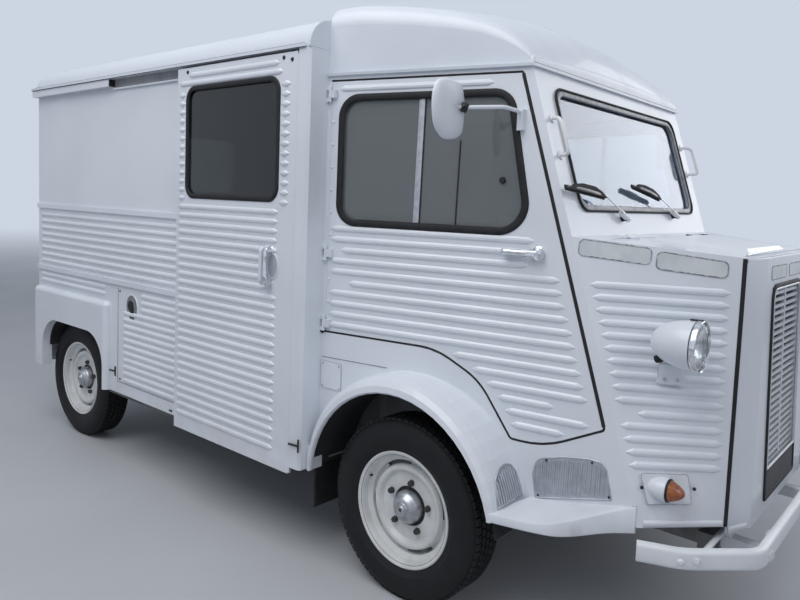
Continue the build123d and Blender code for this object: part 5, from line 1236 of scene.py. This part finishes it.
CAP = [
    (0, 70.5), (6.2, 70.5), (7, 73.8), (14, 73.6), (16, 70.5), (25, 70), (27.2, 66), (36, 64.5), (43, 60),
    (45.5, 56), (52, 51.5), (58, 44), (61.2, 35), (62, 6), (0, 6),
]
CAP_HOLE = [(0, 71.2), (5.8, 71.2), (5.8, 70), (0, 70)]
HUB_DISC = [(0, 6), (79, 6), (79, 2), (0, 2)]
NUT_RING, NUT_OUT = 0.0925, 0.0195
VALVE = Vector((-0.175, 0, 0.075))
TYRE_SIDE = [
    (201.5, 55), (201.5, 66.5), (217.5, 67.2), (222, 70), (232, 76), (239, 78.6), (240.5, 80.3),
    (243.5, 81.2), (246.5, 80.8), (249, 81.8), (266, 84.6), (284, 84.3), (300, 81.5), (314, 76), (324, 69),
    (330, 60), (331.5, 52), (332.2, 25),
]
TYRE_INSIDE = [(318, 40), (300, 64), (270, 72), (235, 66)]
TREAD_BLOCKS, TREAD_ROWS = 72, (-0.052, -0.026, 0.0, 0.026, 0.052)
TREAD_RADIUS, TREAD_BLOCK = 0.3337, (0.0095, 0.0205, 0.0245)
wheel_cream = drifting("wheel_cream", (0.74, 0.75, 0.75), (0.66, 0.67, 0.67), 16, 0.36, 0, 0.2, 0.06, 120)
dusted(wheel_cream, (0.34, 0.31, 0.28), 0.15, 0.60, 0.4)
tyre_rubber = drifting(
    "tyre_rubber", (0.007, 0.0075, 0.009), (0.012, 0.012, 0.013), 14, 0.65, bump=0.12, bump_scale=260,
)
tyre_rubber.node_tree.nodes["Principled BSDF"].inputs["Specular IOR Level"].default_value = 0.3
cap_metal = drifting("cap_metal", (0.50, 0.51, 0.53), (0.38, 0.39, 0.41), 40, 0.38, 1, 0, 0.04, 500)
hub_dark_and_shade = drifting("hub_dark_and_shade", (0.035, 0.034, 0.034), (0.06, 0.055, 0.05), 40, 0.6, 0.2)


def tread_tree():
    """A tree that stands a rubber block on every point, square to the line from the wheel's middle."""
    tree, given = new_tree("tread", Middle="Vector", Block="Vector")
    block = wired(tree, "GeometryNodeMeshCube", {"Size": given["Block"]})["Mesh"]
    where = wired(tree, "GeometryNodeInputPosition", {})["Position"]
    away = wired(tree, "ShaderNodeVectorMath", {0: where, 1: given["Middle"]}, operation="SUBTRACT")["Vector"]
    flat = wired(tree, "ShaderNodeVectorMath", {0: away, 1: (1, 0, 1)}, operation="MULTIPLY")["Vector"]
    face = wired(tree, "FunctionNodeAlignRotationToVector", {"Vector": flat}, axis="X", pivot_axis="Y")[0]
    stand = {"Points": given["Path"], "Instance": block, "Rotation": face}
    return end_tree(tree, wired(tree, "GeometryNodeInstanceOnPoints", stand)[0], given, False)


def mirrored(line):
    """A profile's other half, run back."""
    return [(r, -a) for r, a in line[::-1]]


def slotted(i, k):
    """Whether a face of the disc falls in one of its four slots."""
    angle = 2 * math.pi * (k + 0.5) / WHEEL_STEPS + SLOT_TURN
    quarter = (angle + SLOT_HALF) % (math.pi / 2) - SLOT_HALF
    return SLOT_RING[0] <= i < SLOT_RING[1] and abs(quarter) < SLOT_HALF


tread = tread_tree()
barrel_profile = RIM_LIP + RIM_WELL + mirrored(RIM_LIP) + mirrored(RIM_INSIDE) + RIM_INSIDE
tyre_profile = TYRE_SIDE + mirrored(TYRE_SIDE) + mirrored(TYRE_INSIDE) + TYRE_INSIDE
for axle_place, axle_x, side, side_place in [
    (axle_place, axle_x, side, side_place)
    for axle_place, axle_x in (("front", 0.0), ("rear", -WHEELBASE)) for side, side_place in SIDES
]:
    place = f"{axle_place}_{side_place}"
    body, wheel_node = f"wheel_{place}", f"rim_{place}"
    centre, axle = spot(axle_x, side * TRACK_HALF, HUB_HEIGHT), Vector((0, side, 0))
    wheel = joined(
        turned(barrel_profile, centre, axle, wheel_cream, WHEEL_STEPS),
        turned(DISC, centre, axle, wheel_cream, WHEEL_STEPS, closed=False, left_open=slotted),
    )
    add_piece(f"rim_steel_{place}", wheel, body, "wheel_cream", wheel_node)
    nuts = []
    for angle in [math.radians(72 * k - 12) for k in range(5)]:
        spoke = Vector((-side * math.cos(angle), 0, -math.sin(angle)))
        nuts.append(centre + NUT_RING * spoke + NUT_OUT * axle)
    # The dark disc behind the cap and the dark dot in the cap's middle are partly the hub's own dark and
    # partly painted shade in the holes; the nuts share that dark finish.
    cap = joined(
        turned(CAP, centre, axle, cap_metal, 72), turned(CAP_HOLE, centre, axle, hub_dark_and_shade, 20),
        turned(HUB_DISC, centre, axle, hub_dark_and_shade, 48), studs(nuts, 6, 0.0125, 0.0105, 0.0175, axle, hub_dark_and_shade),
    )
    add_piece(f"hub_cap_{place}", cap, body, "counter_steel", wheel_node)
    valve_line = [centre + VALVE + a * axle for a in (0.022, 0.048)]
    valve = strip([valve_line], 0.008, 0.008, (0, 0, 1), black_rubber)
    add_piece(f"valve_{place}", valve, body, "tyre", wheel_node)
    points = []
    for row, y in enumerate(TREAD_ROWS):
        for angle in [2 * math.pi * (k + 0.5 * (row % 2)) / TREAD_BLOCKS for k in range(TREAD_BLOCKS)]:
            across = Vector((TREAD_RADIUS * math.cos(angle), y, TREAD_RADIUS * math.sin(angle)))
            points.append([centre + across])
    tyre = joined(
        turned(tyre_profile, centre, axle, tyre_rubber, WHEEL_STEPS),
        grow(tread, points, Middle=tuple(centre), Block=TREAD_BLOCK, Finish=tyre_rubber),
    )
    add_piece(f"tyre_tread_{place}", tyre, body, "tyre", f"tyre_{place}")

# The wipers and grab handles. Thin steel arms with black rubber blades lie parked across the
# screen's foot, and a painted tube handle stands on each windscreen post.
WIPERS = [
    # place, foot, bend of the arm, far end and near end of the blade
    ("right", (0.522, -0.262, 1.449), (0.501, -0.398, 1.518), (0.503, -0.704, 1.543), (0.511, -0.420, 1.517)),
    ("left", (0.518, 0.289, 1.461), (0.499, 0.143, 1.524), (0.485, -0.113, 1.567), (0.499, 0.148, 1.523)),
]
BRIDGE = [(0.02, -0.006), (0.98, -0.006), (0.86, 0.014), (0.60, 0.024), (0.30, 0.024), (0.12, 0.012)]
STUD = [(0, -30), (11, -30), (11, 2), (0, 4)]
HANDLE_LOW, HANDLE_HIGH, HANDLE_SIZE = 1.650, 1.775, 0.014
HANDLE_FEET = [(0, 4), (13, 4), (16, 0), (0, 0)]
arm_black = drifting("arm_black", (0.03, 0.03, 0.032), (0.018, 0.018, 0.02), 60, 0.35, coat=0.3)
shade_black = drifting("shade_black", (0.012, 0.012, 0.013), (0.02, 0.02, 0.02), 8, 0.8)
for place, *marks in WIPERS:
    foot, bend, far_end, near_end = [spot(*mark) for mark in marks]
    along = (bend - foot).normalized()
    rise = SCREEN_OUT.cross(far_end - near_end).normalized()
    rise = rise if rise.z > 0 else -rise
    root = [foot + reach * along for reach in (-0.030, -0.010, 0.030)]
    arm = [
        foot + 0.020 * along + 0.006 * SCREEN_OUT, bend + 0.006 * SCREEN_OUT,
        near_end.lerp(far_end, 0.45) + 0.010 * SCREEN_OUT,
    ]
    bow = [
        near_end.lerp(far_end, s) + (0.002 + 0.010 * math.sin(math.pi * s)) * SCREEN_OUT
        for s in (0, 0.25, 0.5, 0.75, 1)
    ]
    blade = [near_end.lerp(far_end, s) - 0.006 * SCREEN_OUT for s in (0, 0.5, 1)]
    bridge = [near_end.lerp(far_end, s) + reach * rise + 0.010 * SCREEN_OUT for s, reach in BRIDGE]
    wiper = joined(
        strip([root], 0.022, 0.022, SCREEN_OUT, fresh_white),
        turned(STUD, foot - 0.012 * along, SCREEN_OUT, dark_steel, 24),
        strip([arm], 0.007, 0.005, SCREEN_OUT, satin_metal),
        strip([bow], 0.013, 0.006, SCREEN_OUT, arm_black),
        strip([blade], 0.020, 0.007, SCREEN_OUT, black_rubber),
        plate(bridge, SCREEN_OUT, 0.005, shade_black),
    )
    add_piece(f"wiper_{place}", wiper, "body", "fitting_white", "cab_front_fittings")
low_x, high_x = crease_x(HANDLE_LOW), crease_x(HANDLE_HIGH)
handle_line = bent([
    (high_x - 0.008, 0.640, HANDLE_HIGH), (high_x + 0.044, 0.663, HANDLE_HIGH + 0.0015),
    (low_x + 0.046, 0.663, HANDLE_LOW + 0.002), (low_x - 0.008, 0.640, HANDLE_LOW),
], 0.024)
for side, place in SIDES:
    tube = [spot(x, side * y, z) for x, y, z in handle_line]
    handle = strip([tube], HANDLE_SIZE, HANDLE_SIZE, (0, 1, 0), fresh_white)
    feet = [
        turned(HANDLE_FEET, spot(x + 0.001, side * 0.6405, z), SCREEN_OUT, fresh_white, 24)
        for x, z in ((high_x, HANDLE_HIGH), (low_x, HANDLE_LOW))
    ]
    add_piece(f"grab_handle_{place}", joined(handle, *feet), "body", "fitting_white", "cab_front_fittings")

# The post behind each cab door carries a folded triangular bracket at its foot. It is plain
# dark steel, screwed on from below.
POST_BRACKET = [(0.928, 0.506), (0.948, 0.500), (0.948, 0.470), (0.931, 0.457)]
for side, place in SIDES:
    sheet = [spot(-0.4515, side * y, z) for y, z in POST_BRACKET]
    add_piece(f"post_bracket_{place}", plate(sheet, (1, 0, 0), 0.003, dark_steel), "body", "chassis_grey")

# The serving hatch and the rear. A black rubber bead seals the hatch in its opening, small
# turn catches hold it down, and the rear doors and the tailgate have plain chromed grips.
HATCH_LINE = [(-2.634, 1.982), (-0.806, 1.982), (-0.806, 1.380), (-2.634, 1.380)]
GRIP_SIZE = 0.014
DOOR_GRIP = [(0.960, 0.0), (0.962, 0.022), (0.985, 0.026), (1.055, 0.026), (1.078, 0.022), (1.080, 0.0)]
LIFT_GRIP = [(-0.060, 0.0), (-0.058, 0.022), (-0.040, 0.026), (0.040, 0.026), (0.058, 0.022), (0.060, 0.0)]
hatch_bead = [spot(x, 0.9555, z) for x, z in rounded(HATCH_LINE, [0.006] * 4)]
hatch_catches = [
    softened_box(spot(x - 0.012, 0.9735, 1.395), spot(x + 0.012, 0.9825, 1.455), 0.003, satin_metal)
    for x in (-2.30, -1.14)
]
hatch_seal = joined(strip([hatch_bead], 0.014, 0.010, (0, 1, 0), black_rubber, closed=True), *hatch_catches)
add_piece("hatch_seal", hatch_seal, "serving_hatch", "tyre")
for side, place in SIDES:
    grip = [spot(TAILGATE_FACE_X - out, side * 0.060, z) for z, out in DOOR_GRIP]
    grip_tube = strip([grip], GRIP_SIZE, GRIP_SIZE, (0, 1, 0), chrome)
    add_piece(f"rear_door_grip_{place}", grip_tube, f"rear_door_{place}", "counter_steel")
lift = [spot(TAILGATE_FACE_X - out, y, 1.425) for y, out in LIFT_GRIP]
lift_tube = strip([lift], GRIP_SIZE, GRIP_SIZE, (0, 0, 1), chrome)
add_piece("tailgate_grip", lift_tube, "tailgate", "counter_steel")

# The cab's inside. Padded vinyl seats on painted frames, a folded steel shelf with a thin
# upright under it, and a thin rimmed steering wheel on its column.
SEAT_Y, SEAT_CROWN, CORNER_PULL, PAD_STEPS = 0.525, 0.012, 0.035, 14
BACK_UP = (spot(-0.425, 0, 1.42) - spot(-0.365, 0, 0.995)).normalized()
BACK_OUT = Vector((-BACK_UP.z, 0, BACK_UP.x)) * (-1 if BACK_UP.z > 0 else 1)
ACROSS, AHEAD, UP = Vector((0, 1, 0)), Vector((1, 0, 0)), Vector((0, 0, 1))
SEAT_RAILS = [
    # rear and front, half width, lower and upper edge, rounding
    (-0.298, 0.098, 0.172, 0.8605, 0.8985, 0.008), (-0.398, -0.335, 0.16, 0.922, 0.985, 0.010),
]
SHELF = [(0.401, 1.291), (0.519, 1.291), (0.495, 1.371), (0.371, 1.371)]
WHEEL_MIDDLE, WHEEL_AXLE = spot(0.215, 0.40, 1.340), Vector((-0.315, 0, 0.310)).normalized()
WHEEL_HUB = [(0, 18), (18, 17), (27, 10), (29, 0), (26, -14), (0, -16)]
seat_vinyl = drifting("seat_vinyl", (0.10, 0.075, 0.06), (0.07, 0.052, 0.042), 18, 0.45, 0, 0.1, 0.25, 420)
seam_thread = drifting("seam_thread", (0.05, 0.038, 0.03), (0.03, 0.022, 0.018), 90, 0.6)
frame_grey = drifting("frame_grey", (0.20, 0.21, 0.22), (0.14, 0.145, 0.15), 30, 0.5, 0.3)
dash_grey = drifting("dash_grey", (0.40, 0.41, 0.42), (0.33, 0.34, 0.35), 14, 0.45, 0, 0.1, 0.15, 260)
wheel_black = drifting("wheel_black", (0.02, 0.02, 0.022), (0.035, 0.035, 0.037), 40, 0.35, coat=0.2)


def cushion(middle, across, up, out, size):
    """A padded form with crowned faces whose sides pull in between its corners, and the line of its seam."""
    shape = bmesh.new()
    width, height, depth = size
    steps, faces = PAD_STEPS, []
    for sign in (1, -1):
        rows = []
        for i in range(steps + 1):
            rows.append([])
            for j in range(steps + 1):
                u, v = 2 * i / steps - 1, 2 * j / steps - 1
                a = u * (1 - CORNER_PULL * (1 - v * v) * u * u)
                b = v * (1 - CORNER_PULL * (1 - u * u) * v * v)
                edge = (1 - u ** 8) * (1 - v ** 8)
                puff = SEAT_CROWN * ((1 - u * u) * (1 - v * v)) ** 0.5
                channel = 0.006 * math.exp(-((abs(u) - 0.52) / 0.05) ** 2) * edge
                rise = sign * (depth / 2 * (0.45 + 0.55 * edge ** 0.35) - SEAT_CROWN + puff - channel)
                place = middle + across * (a * width / 2) + up * (b * height / 2) + out * rise
                rows[i].append(shape.verts.new(place))
        for i in range(steps):
            for j in range(steps):
                shape.faces.new((rows[i][j], rows[i + 1][j], rows[i + 1][j + 1], rows[i][j + 1]))
        faces.append(rows)
    rim = [(i, 0) for i in range(steps)] + [(steps, j) for j in range(steps)]
    rim += [(i, steps) for i in range(steps, 0, -1)] + [(0, j) for j in range(steps, 0, -1)]
    rim_top, rim_low = [[rows[i][j] for i, j in rim] for rows in faces]
    seam = [(upper.co + lower.co) / 2 for upper, lower in zip(rim_top, rim_low)]
    for k in range(len(rim)):
        j = (k + 1) % len(rim)
        shape.faces.new((rim_top[k], rim_top[j], rim_low[j], rim_low[k]))
    return to_mesh(shape, seat_vinyl), seam


def hull_of(points, radius, finish):
    """A closed solid round eight or more points, its edges rounded."""
    shape = bmesh.new()
    for point in points:
        shape.verts.new(point)
    made = bmesh.ops.convex_hull(shape, input=shape.verts[:])
    left_in = made["geom_interior"] + made["geom_unused"]
    loose = [item for item in left_in if isinstance(item, bmesh.types.BMVert)]
    bmesh.ops.delete(shape, geom=list(set(loose)), context="VERTS")
    bmesh.ops.dissolve_limit(shape, angle_limit=math.radians(2), verts=shape.verts[:], edges=shape.edges[:])
    bmesh.ops.bevel(shape, geom=shape.edges[:], offset=radius, segments=2, affect="EDGES", profile=0.5)
    return to_mesh(shape, finish)


for side, place in SIDES:
    for part, middle, up, facing, size in (
        ("cushion", spot(-0.100, side * 0.5275, 0.9455), AHEAD, UP, (0.392, 0.456, 0.088)),
        ("back", spot(-0.3955, side * 0.5295, 1.207), BACK_UP, BACK_OUT, (0.368, 0.424, 0.052)),
    ):
        pad, seam = cushion(middle, ACROSS, up, facing, size)
        piping = strip([seam], 0.007, 0.007, facing, seam_thread, closed=True)
        piece = add_piece(f"seat_{part}_{place}", joined(pad, piping), "body", "seat_vinyl", "seats")
    middle = side * SEAT_Y
    seat_frame = joined(*[
        softened_box(spot(x0, middle - half, z0), spot(x1, middle + half, z1), radius, frame_grey)
        for x0, x1, half, z0, z1, radius in SEAT_RAILS
    ])
    add_piece(f"seat_frame_{place}", seat_frame, "body", "chassis_grey", "seats")

dash = joined(
    hull_of([spot(x, y, z) for x, z in SHELF for y in (-0.598, 0.598)], 0.010, dash_grey),
    softened_box(spot(0.401, 0.393, 1.152), spot(0.429, 0.407, 1.292), 0.002, dash_grey),
)
add_piece("dash_shelf", dash, "body", "dash_grey", "dashboard")
spokes = []
for k in range(3):
    reach = Matrix.Rotation(math.radians(120 * k), 3, WHEEL_AXLE) @ ACROSS
    spokes.append([WHEEL_MIDDLE + 0.020 * reach, WHEEL_MIDDLE + 0.198 * reach])
steering_wheel = joined(
    turned(oval(205, 0, 12.5, 12.5, 12), WHEEL_MIDDLE, WHEEL_AXLE, wheel_black, 72),
    turned(WHEEL_HUB, WHEEL_MIDDLE, WHEEL_AXLE, wheel_black, 32),
    strip([[spot(0.609, 0.40, 0.952), spot(0.222, 0.40, 1.333)]], 0.036, 0.036, (0, 1, 0), wheel_black),
    strip(spokes, 0.014, 0.006, WHEEL_AXLE, satin_metal, tree=flat_strip),
)
add_piece("steering_wheel", steering_wheel, "body", "dash_grey", "dashboard")

# Frame, floor and running gear. Painted and oiled steel under the van, a worn rubber-coated
# floor, a stainless counter and a cast engine, all dulled by dust.
floor_grey = drifting("floor_grey", (0.30, 0.31, 0.32), (0.22, 0.225, 0.23), 9, 0.6, 0, 0, 0.2, 220)
chassis_grey = drifting("chassis_grey", (0.14, 0.14, 0.145), (0.09, 0.09, 0.092), 12, 0.6, 0.3, 0, 0.2, 160)
dusted(chassis_grey, (0.26, 0.23, 0.20), 0.25, 0.7, 0.7)
engine_metal = drifting("engine_metal", (0.30, 0.30, 0.30), (0.20, 0.19, 0.18), 20, 0.5, 0.8, 0, 0.3, 120)
counter_steel = drifting(
    "counter_steel", (0.62, 0.63, 0.64), (0.54, 0.55, 0.56), 8, 0.26, 1, 0, 0.05, 240, stretch=(0.3, 8, 8),
)
finish_nodes(floor_grey, ["floor_pan"])
finish_nodes(chassis_grey, [
    "chassis_frame", "front_suspension", "rear_axle", "knuckle_right", "knuckle_left",
])
finish_nodes(engine_metal, ["engine_block"])
finish_nodes(counter_steel, ["serving_counter"])
